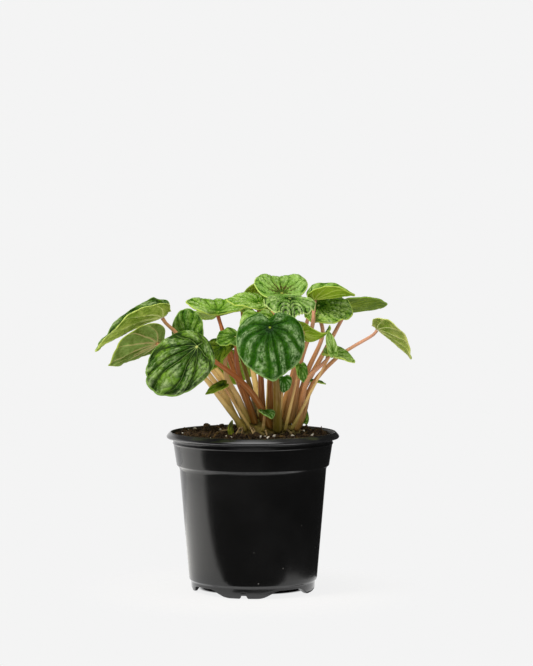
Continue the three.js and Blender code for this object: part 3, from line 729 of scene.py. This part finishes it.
STALK_TONES = {
    "tan": stalk_finish("stalk_tan", (168, 150, 72), (222, 186, 118), (206, 150, 100)),
    "pink": stalk_finish("stalk_pink", (150, 112, 54), (194, 136, 88), (212, 154, 124)),
    "rust": stalk_finish("stalk_rust", (128, 88, 34), (156, 88, 40), (174, 96, 52)),
    "olive": stalk_finish("stalk_olive", (112, 100, 34), (118, 92, 30), (120, 96, 34)),
}
STALKS_IN = {
    "tan": "far_left low_left upright_left behind_top inner_left rear_low_left rear_top_left",
    "pink": "upper_right far_right_high rippled_right far_right curled_right twisted_right "
            "rear_right",
    "rust": "front_left back_of_left upper_left top rippled_front small_left behind_centre "
            "rear_centre rear_left",
    "olive": "front_centre rear_low",
}
STALK_CHOICE = {name: tone for tone, names in STALKS_IN.items() for name in names.split()}
STALK_GIRTH = dict(front_centre=1.3, front_left=1.1, far_right=0.85, rippled_front=1.1)


def lay_out(piece, layer, across, along, lap=1.0):
    """Unwraps a piece by two measures of each point. The first starts again at the lap, if any."""
    mesh = piece.data
    corners = np.empty(len(mesh.loops), int)
    mesh.loops.foreach_get("vertex_index", corners)
    u = across[corners]
    if lap:
        starts, totals = np.empty(len(mesh.polygons), int), np.empty(len(mesh.polygons), int)
        mesh.polygons.foreach_get("loop_start", starts)
        mesh.polygons.foreach_get("loop_total", totals)
        face_of = np.repeat(np.arange(len(starts)), totals)
        top = np.zeros(len(starts))
        np.maximum.at(top, face_of, u)
        u = u + lap * ((top[face_of] > 0.75 * lap) & (u < 0.25 * lap))
    sheet = mesh.uv_layers.new(name=layer)
    sheet.data.foreach_set("uv", np.stack([u, along[corners]], -1).ravel())


def new_stalk(name, line, thick, sides, tone, stands_for, end_faces, flatten=None):
    """A stalk of that thickness along a line, unwrapped round and along."""
    points, faces = round_run(line, thick, sides, flatten, end_faces)
    stalk = new_piece(name, points, faces, [STALK_TONES[tone]], [stands_for])
    around = np.append(np.tile(np.arange(sides) / sides, len(line)), [0.5, 0.5])
    along = np.append(np.repeat(np.linspace(0, 1, len(line)), sides), [0, 1])
    lay_out(stalk, "along", around, along)


feet = stand_apart([*LEAVES.values(), *SPROUTS.values()])
share = np.linspace(0, 1, STALK_ROWS)
for (name, leaf), foot in zip(LEAVES.items(), feet):
    line, out, up = stalk_line(leaf, foot, STALK_ROWS)
    length = np.linalg.norm(np.diff(line, axis=0), axis=1).sum()
    thick = STALK_TOP + STALK_SWELL * (1 - share) ** 1.2 + 0.12 * np.exp(-share * length / 5)
    thick += 0.2 * np.exp(-(1 - share) * length / 1.2)
    thick *= STALK_GIRTH.get(name, 1.0)
    thick *= 1 + 0.025 * np.sin(share * 23 + foot[0]) + 0.02 * np.sin(share * 51 + foot[1])
    new_stalk(f"stalk_{name}", line, thick, STALK_SIDES, STALK_CHOICE[name],
              f"petiole_{name}", (out, up), lambda spin: 1 + 0.05 * np.cos(2 * spin))

# ---------------------------------------------------------------------------------------------
# The leaves are thick, waxy and quilted: veins fan from the stalk's pale dot and arch to the
# tip, sunk between puffed ribs with silver streaks, and stand proud on the paler underside.
# ---------------------------------------------------------------------------------------------
VEINS = 12
ARCHING = 0.5  # how much the veins swing towards the tip
LEAF_COLUMNS, LEAF_ROWS, LEAF_THICKNESS = VEINS * 12, 32, 0.95
MARGIN_FROM = 0.955  # the reach where the blade's edge begins to round off
SWINGS = 12  # rounds of swinging the veins, which settles them
NUDGE = 0.01  # a small step over the blade, to find which way it faces


def blade_point(leaf, reach, turn):
    """The blade's middle surface in its own axes: reach from the stalk, turn from the tip."""
    length, width = leaf["size"]
    behind, pointed = leaf["behind"], leaf["pointed"]
    tip_point = 0.05 * pointed * np.exp(-((turn / 0.3) ** 2))
    notch = leaf["notch"] * np.exp(-(((math.pi - np.abs(turn)) / leaf["notch_width"]) ** 2))
    along = reach * length * (0.5 - behind + 0.5 * np.cos(turn) + tip_point + notch)
    narrowing = 1 - 0.22 * pointed * ((1 + np.cos(turn)) / 2) ** 3
    narrowing = narrowing + 0.2 * np.maximum(0, -np.cos(turn))
    across = reach * width * 0.5 * np.sin(turn) * narrowing
    fold = math.radians(leaf["fold"])
    cross_bend = math.radians(leaf["cup"]) / (width / 2) + 1e-6
    opened = fold + cross_bend * np.abs(across)
    y = np.sign(across) * (np.sin(opened) - math.sin(fold)) / cross_bend
    z = (math.cos(fold) - np.cos(opened)) / cross_bend
    tip_bend = math.radians(leaf["curl"]) / (length * (1 - behind))
    lobe_bend = -math.radians(leaf["lobes"]) / (length * behind)
    bend = np.where(along > 0, tip_bend, lobe_bend) + 1e-6
    radius, swept = 1 / bend + z, bend * along
    return np.stack([radius * np.sin(swept), y, radius * np.cos(swept) - 1 / bend], -1)


def quilting(reach, fan, dice, around, out=8):
    """Small cushions between the veins: 0 in the crease round each of them, 1 on top."""
    places = dice.uniform(0.1, 0.9, (around, out + 3, 2))
    u, v = (fan / FULL_TURN + 0.5) * around, reach * out
    apart = FULL_TURN * np.maximum(reach, 0.15) * out / around
    nearest, second = np.full(reach.shape, 9.0), np.full(reach.shape, 9.0)
    for i in (-1, 0, 1):
        for j in (-1, 0, 1):
            column, row = np.floor(u) + i, np.floor(v) + j
            place = places[column.astype(int) % around, row.astype(int) + 1]
            away = np.hypot((column + place[..., 0] - u) * apart, row + place[..., 1] - v)
            second = np.minimum(second, np.maximum(nearest, away))
            nearest = np.minimum(nearest, away)
    return smooth(second - nearest, 0.0, 0.5)


def ripples(leaf, reach, fan, turn, look, dice):
    """How far the leaf stands off its middle surface in mm, and how high its puffs are, 0 to 1."""
    across, along = reach * np.sin(turn), reach * np.cos(turn)
    veins = look["veins"]
    strength = dice.uniform(0.6, 1.15, veins)
    which = np.floor((fan / FULL_TURN + 0.5) * veins).astype(int) % veins
    cushions = quilting(reach, fan, dice, veins * 2)
    puffs = look["ribs"] * strength[which] * np.abs(np.sin(veins * (fan / 2 + math.pi / 2))) ** 0.7
    puffs *= 1 - look["quilted"] * (1 - cushions)
    puffs *= smooth(reach, 0.03, 0.3) * (1 - 0.4 * smooth(reach, 0.78, 1))
    wrinkles = cushions * smooth(reach, 0.08, 0.3) * (1 - 0.8 * smooth(reach, 0.84, 1))
    puffs += look["wrinkles"] * wrinkles
    for twin in (-0.26, 0.26):  # nested arches, one set on each side of the middle vein
        away = np.hypot((across - twin) * 1.2, (along - 0.9) * 0.75)
        here = smooth(np.sign(twin) * across, 0.0, 0.05) * smooth(along, 0.0, 0.2)
        here = here * (1 - smooth(np.abs(across - twin), 0.2, 0.36))
        arch_ribs = np.abs(np.sin(away * 20 + 0.4)) ** 2.0
        puffs += here * (look["arches"] * 1.1 * arch_ribs - min(1, look["arches"]) * puffs)
    swell = np.zeros_like(reach)
    for _ in range(4):
        direction = dice.normal(0, 1, 2) * 2.2
        swell += np.sin(across * direction[0] + along * direction[1] + dice.uniform(0, FULL_TURN))
    waves = look["waves"]
    wavy = np.sin(waves * turn + dice.uniform(0, 6))
    wavy += 0.6 * np.sin((waves + 4) * turn + dice.uniform(0, 6))
    height = puffs + 0.3 * swell * smooth(reach, 0.2, 0.9)
    height += look["ruffle"] * wavy * smooth(reach, 0.55, 1.0) ** 1.5
    height -= 0.9 * smooth(reach, 0.82, 1.0) ** 2
    scale = math.sqrt(math.prod(leaf["size"])) / 40
    return height * scale, np.clip(puffs / np.percentile(puffs, 97), 0, 1)


def new_blade(name, leaf, look, seed, columns, rows, thickness, finishes, stands_for):
    """A leaf blade with a rounded margin, unwrapped along its veins and by its relief."""
    dice = np.random.default_rng(seed)
    reaches = np.concatenate([np.linspace(0.03, 0.95, rows), [0.968, 0.981, 0.991, 0.9975]])
    reach, fan = np.meshgrid(reaches, turns(columns) - math.pi, indexing="ij")
    turn = fan.copy()
    for _ in range(SWINGS):
        swung = ARCHING * reach**2
        turn = turn - (turn + swung * np.sin(turn) - fan) / (1 + swung * np.cos(turn))
    lean = dice.uniform(0, FULL_TURN, 4)
    across, along = reach * np.sin(turn), reach * np.cos(turn)
    astray = np.sin(5 * across + 2 * along + lean[0])
    astray += 0.7 * np.sin(7 * along - 4 * across + lean[1])
    fan = fan + look["astray"] * astray * smooth(reach, 0.05, 0.7)
    ribs = np.abs(np.sin(look["veins"] * (fan / 2 + math.pi / 2)))
    uneven = look["uneven"] * (np.sin(3 * turn + lean[2]) + 0.7 * np.sin(5 * turn + lean[3]))
    wobble = 1 + (0.014 * look["ribs"] * (ribs - 0.5) + uneven) * reach**2
    middle = blade_point(leaf, reach * wobble, turn)
    further_in = np.maximum(reach - NUDGE, 0)
    out = blade_point(leaf, reach + NUDGE, turn) - blade_point(leaf, further_in, turn)
    around = blade_point(leaf, reach, turn + NUDGE) - blade_point(leaf, reach, turn - NUDGE)
    normal = np.cross(out, around)
    normal /= np.linalg.norm(normal, axis=-1)[..., None]
    height, puffs = ripples(leaf, reach, fan, turn, look, dice)
    rounded = np.maximum(reach - MARGIN_FROM, 0) / (1 - MARGIN_FROM)
    edge = np.sqrt(np.clip(1 - rounded**2, 0, 1)) * thickness / 2
    to_vein = np.abs(((fan / FULL_TURN + 0.5) * look["veins"] + 0.5) % 1 - 0.5)
    vein_ridge = np.exp(-((to_vein * reach * 84 / look["veins"] / 0.5) ** 2))
    vein_ridge *= 0.28 * smooth(reach, 0.0, 0.1) * (1 - smooth(reach, 0.75, 1.0))
    upper = middle + normal * (height + edge)[..., None]
    lower = middle + normal * (height * 0.92 - edge - vein_ridge)[..., None]
    margin = blade_point(leaf, wobble[-1], turn[-1]) + normal[-1] * height[-1][:, None]
    heart = blade_point(leaf, np.zeros(1), np.zeros(1))[0]
    hearts = np.array([heart + (0, 0, thickness / 2 + 0.1), heart - (0, 0, thickness / 2)])
    local = np.vstack([upper.reshape(-1, 3), margin, lower[::-1].reshape(-1, 3), hearts])
    points = np.array(leaf["at"]) + local @ np.array(leaf_axes(leaf))
    skins = 2 * len(reaches) + 1
    is_under = (np.arange(skins - 1) >= len(reaches)).astype(int)
    is_under = [*np.repeat(is_under, columns), *[0, 1] * columns]
    faces = closed_faces(skins, columns)
    blade = new_piece(name, points, faces, finishes, [stands_for], is_under)
    lap = look["veins"] / VEINS
    fans = (fan / FULL_TURN + 0.5) * lap
    along = np.append(np.repeat([*reaches, 1.0, *reaches[::-1]], columns), [0, 0])
    around = np.concatenate([fans.ravel(), fans[-1], fans[::-1].ravel(), [0.5, 0.5]])
    crest = np.concatenate([puffs.ravel(), puffs[-1], puffs[::-1].ravel(), [0, 0]])
    lay_out(blade, "veins", around, along, lap)
    lay_out(blade, "relief", crest, along, lap=0)


def vein_measures(skin):
    """Where a point lies among the veins.

    Its spot and reach, how far it is from the nearest vein as a share and in mm, and its crest.
    """
    fan, reach, spot = skin.unwrapped("veins")
    crest = skin.unwrapped("relief")[0]
    astray = skin.maths("MULTIPLY_ADD", skin.cloud(70, 2), 0.03, -0.015)
    stripes = skin.maths("MULTIPLY_ADD", skin.plus(fan, astray), VEINS, 0.5)
    to_vein = skin.maths("ABSOLUTE", skin.maths("SUBTRACT", skin.maths("FRACT", stripes), 0.5))
    millimetres = skin.times(skin.times(to_vein, reach), 126 / VEINS)
    return spot, reach, to_vein, millimetres, crest


def upper_finish(name, tones, lit=0.7, silvering=0.6, silver_from=0.25, vein_width=0.36,
                 heart=None, dark_heart=0.5, furrow_to=0.6, dot_size=0.075):
    """Waxy upper side: tones of its furrows, puffs, patches, streaks, veins, margin and dot."""
    deep, rib, light, silver, vein, margin, dot = tones
    skin = Finish(name, 0.34, 0.16)
    spot, reach, to_vein, millimetres, crest = vein_measures(skin)
    broad = skin.cloud(75, 3, 0.6)
    blotches = skin.cloud(150, 4, 0.65, 0.5)
    mottle = skin.cloud(520, 3, 0.65)
    streaks = skin.cloud(1, 4, 0.65, 0.5, skin.stretch(spot, (VEINS * 3.6, 8, 1)))
    # painted shade and painted light on the relief: the furrows are darker and the tops of the
    # puffs lighter, on top of the leaf's own darker and paler greens
    furrow = skin.maths("MULTIPLY_ADD", mottle, 0.5, -0.25)
    furrow = skin.plus(skin.ease(crest, 0.02, furrow_to), furrow)
    tone = skin.blend(skin.ease(furrow, 0.1, 0.85), deep, rib)
    patch = skin.times(skin.ease(broad, 0.42, 0.62), skin.ease(reach, 0.15, 0.65, 0.3, 1))
    tone = skin.blend(skin.times(patch, skin.ease(crest, 0.2, 0.75, 0.15 * lit, lit)), tone, light)
    tone = skin.blend(skin.ease(blotches, 0.5, 0.72, 0, 0.5), tone, deep)
    ridge = skin.ease(reach, silver_from, silver_from + 0.3)
    ridge = skin.times(skin.ease(to_vein, 0.12, 0.38), ridge)
    patchy = skin.ease(skin.plus(streaks, skin.times(mottle, 0.6)), 0.64, 1.02)
    shine = skin.times(skin.times(ridge, patchy), silvering)
    tone = skin.blend(shine, tone, silver)
    if dark_heart:
        near = skin.times(skin.ease(reach, 0.1, 0.55, dark_heart, 0), skin.ease(broad, 0.38, 0.55))
        tone = skin.blend(near, tone, deep)
    net = skin.grains(430, "DISTANCE_TO_EDGE")
    tone = skin.blend(skin.ease(net, 0.0, 0.09, 0.3, 0), tone, deep)
    width = skin.ease(reach, 0.0, 0.9, vein_width, vein_width * 0.3)
    line = skin.ease(skin.maths("DIVIDE", millimetres, width), 0.3, 1.25, 1, 0)
    line = skin.times(line, skin.ease(streaks, 0.3, 0.6, 0.35, 1))
    tone = skin.blend(line, tone, vein)
    if heart is not None:
        branch = skin.ease(skin.plus(blotches, skin.times(to_vein, -0.6)), 0.24, 0.46)
        spread = skin.times(skin.ease(reach, 0.16, 0.68, 0.9, 0), branch)
        tone = skin.blend(spread, tone, heart)
    tone = skin.blend(skin.ease(reach, MARGIN_FROM, 0.985, 0, 0.8), tone, margin)
    tone = skin.blend(skin.ease(reach, 0.02, dot_size, 1, 0), tone, dot)
    rough = skin.plus(skin.ease(mottle, 0.3, 0.75, 0.28, 0.44), skin.times(shine, 0.12))
    return skin.coat(tone, skin.bump(net, 0.7, 0.7, skin.bump(mottle, 0.5, 0.7)), rough)


def under_finish(name, tones, vein_width):
    """Matt underside: tones of its skin, its shade, its raised veins and its margin."""
    base, shade, vein, margin = tones
    skin = Finish(name, 0.5, 0.18)
    _, reach, _, millimetres, crest = vein_measures(skin)
    blotches = skin.cloud(95, 4, 0.6)
    tone = skin.blend(skin.ease(blotches, 0.34, 0.68), base, shade)
    tone = skin.blend(skin.ease(crest, 0.05, 0.6, 0.0, 0.5), tone, shade)
    net = skin.grains(420, "DISTANCE_TO_EDGE")
    tone = skin.blend(skin.ease(net, 0.0, 0.06, 0.2, 0), tone, vein)
    width = skin.ease(reach, 0.0, 1.0, vein_width, vein_width * 0.35)
    line = skin.ease(skin.maths("DIVIDE", millimetres, width), 0.3, 1.3, 0.8, 0)
    tone = skin.blend(line, tone, vein)
    tone = skin.blend(skin.ease(reach, 0.95, 0.985, 0, 0.8), tone, margin)
    return skin.coat(tone, skin.bump(net, 0.2, 0.5), skin.ease(blotches, 0.3, 0.75, 0.45, 0.58))


UPPER = {name: upper_finish(f"leaf_{name}", tones, **look) for name, tones, look in [
    ("deep", [(6, 34, 0), (32, 78, 0), (78, 126, 26), (152, 180, 126), (16, 52, 0), (130, 164, 90),
              (120, 138, 26)],
     dict(lit=0.45, silvering=0.8, vein_width=0.22, furrow_to=0.2, dot_size=0.04)),
    ("mid", [(12, 44, 0), (50, 94, 4), (110, 148, 36), (160, 184, 112), (84, 120, 34),
             (136, 170, 76), (206, 204, 124)],
     dict(lit=0.8, silvering=0.5, silver_from=0.2, vein_width=0.22, furrow_to=0.5)),
    ("puffed", [(12, 36, 0), (46, 84, 2), (112, 148, 44), (180, 200, 144), (110, 136, 66),
                (124, 158, 70), (176, 180, 104)],
     dict(lit=0.8, silvering=0.55, silver_from=0.2, vein_width=0.2, furrow_to=0.85,
          dot_size=0.055)),
    ("fresh", [(40, 82, 4), (108, 150, 40), (162, 194, 96), (198, 216, 160), (66, 108, 20),
               (182, 206, 90), (190, 204, 110)],
     dict(lit=0.9, silvering=0.5, dark_heart=0.25)),
    ("crowned", [(52, 94, 18), (112, 152, 58), (150, 186, 94), (180, 206, 142), (92, 112, 50),
                 (184, 210, 104), (150, 160, 70)],
     dict(lit=0.9, silvering=0.4, silver_from=0.3, vein_width=0.3, heart=(62, 36, 18),
          dark_heart=0)),
    ("furrowed", [(4, 26, 0), (82, 124, 38), (146, 180, 92), (196, 214, 156), (30, 66, 6),
                  (180, 204, 120), (160, 180, 90)],
     dict(lit=0.85, silvering=0.55, dark_heart=0, furrow_to=0.52)),
    # shaded: a darker copy of the leaf tones for leaves deep in the plant, painted shade
    ("shaded", [(14, 32, 0), (58, 84, 4), (104, 116, 20), (130, 146, 60), (24, 48, 0),
                (110, 130, 34), (60, 84, 10)],
     dict(lit=0.6, silvering=0.35)),
]}
# the underside tones are lighter than the blade's own colour: painted light standing in for light
# shining through the blade
UNDER = {name: under_finish(f"underside_{name}", tones, width) for name, width, tones in [
    ("lime", 0.6, [(168, 196, 54), (122, 156, 22), (190, 208, 96), (188, 208, 84)]),
    ("olive", 0.6, [(122, 148, 26), (80, 108, 4), (138, 160, 50), (140, 170, 48)]),
    ("greyed", 0.6, [(150, 180, 92), (84, 106, 22), (188, 170, 112), (168, 184, 76)]),
    ("ridged", 0.5, [(216, 230, 112), (122, 154, 38), (222, 230, 146), (212, 228, 118)]),
    ("pale", 0.6, [(204, 224, 104), (146, 180, 50), (222, 232, 160), (210, 226, 116)]),
    ("mottled", 0.45, [(206, 204, 118), (110, 138, 36), (200, 206, 140), (200, 208, 112)]),
]}
# veins: how many; ribs, arches, wrinkles, ruffle: heights in mm; waves: how many round the margin;
# astray and uneven: how far the veins and the outline stray
PLAIN = dict(veins=10, ribs=0.9, quilted=0.4, arches=0.0, wrinkles=0.2, ruffle=0.5, waves=5,
             astray=0.08, uneven=0.014)
LOOKS = {
    "far_left": ("puffed", "ridged", dict(
        veins=9, ribs=1.2, ruffle=0.6, waves=7, wrinkles=0.6, uneven=0.006)),
    "low_left": ("mid", "greyed", dict(ribs=1.1, veins=9)),
    "front_left": ("puffed", "lime", dict(
        veins=8, ribs=1.5, quilted=0.5, wrinkles=0.2, ruffle=0.15, astray=0.14, uneven=0.005)),
    "upright_left": ("mid", "lime", dict(veins=7, ribs=1.4, wrinkles=0.4)),
    "back_of_left": ("fresh", "lime", dict(ribs=1.3, wrinkles=0.5, veins=8)),
    "upper_left": ("fresh", "pale", dict(ribs=0.5, wrinkles=0.7)),
    "behind_top": ("mid", "lime", dict(ribs=0.5, ruffle=0.3)),
    "top": ("crowned", "lime", dict(ribs=0.6, wrinkles=0.5, ruffle=0.4)),
    "rippled_front": ("furrowed", "lime", dict(
        veins=12, ribs=0.8, arches=1.25, wrinkles=0.4, ruffle=1.0, waves=11)),
    "front_centre": ("deep", "lime", dict(
        veins=9, ribs=1.0, quilted=0.35, ruffle=0.15, astray=0.12)),
    "upper_right": ("fresh", "lime", dict(ribs=0.6, wrinkles=0.3)),
    "far_right_high": ("mid", "olive", dict(ribs=0.5, ruffle=0.3)),
    "rippled_right": ("fresh", "lime", dict(ribs=0.4, wrinkles=0.9, ruffle=0.8, waves=8)),
    "far_right": ("fresh", "mottled", dict(ribs=0.7, ruffle=0.6, wrinkles=0.2)),
    "curled_right": ("fresh", "lime", dict(ribs=0.3, ruffle=0.2)),
    "twisted_right": ("fresh", "pale", dict(ribs=0.6, ruffle=0.5)),
    "small_left": ("mid", "lime", dict(veins=7, ribs=1.1, ruffle=1.5, waves=6, wrinkles=0.5)),
    "behind_centre": ("fresh", "lime", dict(ribs=0.6)),
    "inner_left": ("shaded", "olive", dict(ribs=0.7, wrinkles=0.3)),
    "rear_low_left": ("mid", "lime", {}),
    "rear_top_left": ("fresh", "lime", {}),
    "rear_centre": ("deep", "lime", {}),
    "rear_right": ("mid", "lime", {}),
    "rear_low": ("deep", "lime", {}),
    "rear_left": ("mid", "lime", {}),
}
for seed, (name, leaf) in enumerate(LEAVES.items(), 100):
    top_tone, under_tone, changes = LOOKS[name]
    finishes = [UPPER[top_tone], UNDER[under_tone]]
    new_blade(f"blade_{name}", leaf, {**PLAIN, **changes}, seed, LEAF_COLUMNS, LEAF_ROWS,
              LEAF_THICKNESS, finishes, f"leaf_{name}")

# ---------------------------------------------------------------------------------------------
# Young leaves stand low among the stalks. Each is small and narrow on a thin stalk of its own,
# and the ones in the shade are given darker tones: painted shade.
# ---------------------------------------------------------------------------------------------
SPROUT_TONES = {
    "sprout_left": ("shaded", "lime"),
    "sprout_base": ("deep", "olive"),
    "sprout_centre": ("deep", "olive"),
    "sprout_right": ("mid", "olive"),
    "sprout_edge": ("mid", "lime"),
    "sprout_upright": ("fresh", "pale"),
    "sprout_low_right": ("mid", "lime"),
}
YOUNG_LOOK = dict(PLAIN, ribs=0.6, ruffle=0.5, veins=8)
YOUNG_COLUMNS, YOUNG_ROWS, YOUNG_THICKNESS = VEINS * 5, 16, 0.8
STEM_ROWS, STEM_SIDES = 30, 10
share = np.linspace(0, 1, STEM_ROWS)
stem_thick = 1.1 - 0.4 * share + 0.3 * np.exp(-share * 8)
for seed, ((name, leaf), foot) in enumerate(zip(SPROUTS.items(), feet[len(LEAVES):]), 300):
    top_tone, under_tone = SPROUT_TONES[name]
    finishes = [UPPER[top_tone], UNDER[under_tone]]
    new_blade(f"{name}_blade", leaf, YOUNG_LOOK, seed, YOUNG_COLUMNS, YOUNG_ROWS, YOUNG_THICKNESS,
              finishes, name)
    line, out, _ = stalk_line(leaf, foot, STEM_ROWS, to_blade=True)
    new_stalk(f"{name}_stalk", line, stem_thick, STEM_SIDES, "tan", name, (out, None))

# ---------------------------------------------------------------------------------------------
# The studio: a pale floor that fades into a pale room, soft lights from the left, from above and
# in front, bright cards on the floor and a glow in the room that only the gloss of the pot
# shows, and the camera at the photograph's angle.
# ---------------------------------------------------------------------------------------------
FLOOR_RADIUS, FLOOR_RINGS, FLOOR_COLUMNS = 130, 12, 96
FLOOR_LEVEL, CARD_LEVEL = -0.02, -1  # just under the pot, in mm
SHADOW_FROM, SHADOW_TO = 0.026, 0.03  # the dark under the pot, in metres from its middle
FADE_FROM, FADE_TO = 0.05, 0.125
floor_radii = np.linspace(20, FLOOR_RADIUS, FLOOR_RINGS)[:, None]
floor_rings = rings(floor_radii, turns(FLOOR_COLUMNS), FLOOR_LEVEL)
floor_points = np.vstack([[(0, 0, FLOOR_LEVEL)], floor_rings])
floor_faces = [(0, 1 + k, 1 + (k + 1) % FLOOR_COLUMNS) for k in range(FLOOR_COLUMNS)]
floor_faces += band_faces(FLOOR_RINGS, FLOOR_COLUMNS, 1)
floor = new_mesh("studio_floor", floor_points, floor_faces)
paper = Finish("pale_floor", 0.9, 0.0)
from_middle = paper.node("VectorMath", paper.place(), operation="LENGTH").outputs["Value"]
# painted shadow: the floor under the pot, a little forward of its middle, is dark and gives no
# glow
painted_shadow_distance = paper.stretch(paper.place(), (0.8, 1, 1), (0, -0.008, 0))
painted_shadow_distance = paper.node("VectorMath", painted_shadow_distance, operation="LENGTH").outputs["Value"]
outside_painted_shadow = paper.ease(painted_shadow_distance, SHADOW_FROM, SHADOW_TO)
paper.give("Base Color", paper.blend(outside_painted_shadow, (14, 12, 10), (84, 83, 82)))
paper.give("Emission Color", (1, 1, 1, 1))
paper.give("Emission Strength", paper.times(outside_painted_shadow, 0.83))
clear = paper.node("BsdfTransparent").outputs[0]
faded = paper.either(paper.ease(from_middle, FADE_FROM, FADE_TO), paper.surface.outputs[0], clear)
paper.links.new(faded, paper.nodes["Material Output"].inputs["Surface"])
floor.data.materials.append(paper.material)
floor.visible_glossy = False


def floor_card(name, corners, strength):
    """A bright card lying on the floor, seen only in the gloss of the pot."""
    card = new_mesh(name, [(x, y, CARD_LEVEL) for x, y in corners], [tuple(range(len(corners)))])
    white = Finish(name, 0.9, 0.0)
    white.give("Emission Color", (1, 1, 1, 1))
    white.give("Emission Strength", strength)
    card.data.materials.append(white.material)
    card.visible_camera = card.visible_shadow = False
    card.visible_diffuse = card.visible_transmission = False


floor_card("left_card", [
    (-23, -54), (-69, -67), (-128, -72), (-420, -78), (-420, 260), (-40, 260), (-40, 0)], 0.55)
floor_card("right_card", [
    (28, -54), (72, -62), (84, -39), (80, -16), (71, 36), (45, 60), (44, 0)], 0.55)
floor_card("front_card", [
    (-41, -14), (-50, -22), (-30, -52), (0, -57), (28, -54), (43, -14), (30, -30), (16, -38.5),
    (0, -41.5), (-16, -38.5), (-30, -30)], 0.7)

world = bpy.data.worlds.new("studio_room")
bpy.context.scene.world = world
world.use_nodes = True
room = Recipe(world.node_tree)
seen = room.nodes["Background"]
seen.inputs["Color"].default_value = paint(244, 244, 244)
x, y, z = room.split(room.place(kind="Generated"))
overhead = room.maths("MAXIMUM", z, 0.0)
leftward = room.maths("MULTIPLY_ADD", x, -1.0, y)
forward = room.maths("MULTIPLY_ADD", y, -1.0, z)
side_glow = room.ease(room.maths("MULTIPLY_ADD", overhead, -1.2, leftward), 0.7, 1.02, 0.015, 0.95)
front_glow = room.ease(forward, 1.1, 1.38, 0.0, 2.6)
floor_glow = room.ease(z, -0.72, -0.86)
glow = room.maths("MAXIMUM", room.maths("MAXIMUM", side_glow, front_glow), floor_glow)
in_gloss = room.node("Background", (1, 1, 1, 1), glow).outputs[0]
dimming = room.ease(z, -0.5, 0.4, 0.95, 0.44, "LINEAR")
on_matt = room.node("Background", (1, 1, 1, 1), dimming).outputs[0]
ray = room.node("LightPath").outputs
lighting = room.either(ray["Is Glossy Ray"], on_matt, in_gloss)
lighting = room.either(ray["Is Camera Ray"], lighting, seen.outputs[0])
room.links.new(lighting, room.nodes["World Output"].inputs["Surface"])

PLANT_MIDDLE = Vector((0, 0, 0.15))


def soft_light(name, place, size, power):
    """A large square light in metres, aimed at the plant and hidden from its gloss."""
    lamp = bpy.data.lights.new(name, "AREA")
    lamp.shape = "SQUARE"
    lamp.size = size
    lamp.energy = power
    lamp.color = (1.0, 0.97, 0.9)
    light = bpy.data.objects.new(name, lamp)
    light.location = place
    light.rotation_euler = (PLANT_MIDDLE - Vector(place)).to_track_quat("-Z", "Y").to_euler()
    light.visible_glossy = False
    bpy.context.scene.collection.objects.link(light)


soft_light("key_light", (-0.9, -0.6, 1.35), 0.5, 24)
soft_light("top_light", (0.5, -0.1, 1.5), 0.8, 5)
soft_light("front_light", (0.3, -1.7, 0.2), 1.0, 6)

CAMERA_PLACE = (0.0089, -1.58, 0.249)
CAMERA_PITCH = 2.85  # degrees below level
CAMERA_LENS = 129.73  # mm, on a long side of 36 mm
lens = bpy.data.cameras.new("camera")
lens.lens = CAMERA_LENS
lens.sensor_width = 36
lens.clip_start, lens.clip_end = 0.01, 50
camera = bpy.data.objects.new("camera", lens)
camera.location = CAMERA_PLACE
camera.rotation_euler = (math.radians(90 - CAMERA_PITCH), 0, 0)
bpy.context.scene.collection.objects.link(camera)
bpy.context.scene.camera = camera
bpy.context.scene.view_settings.view_transform = "Standard"
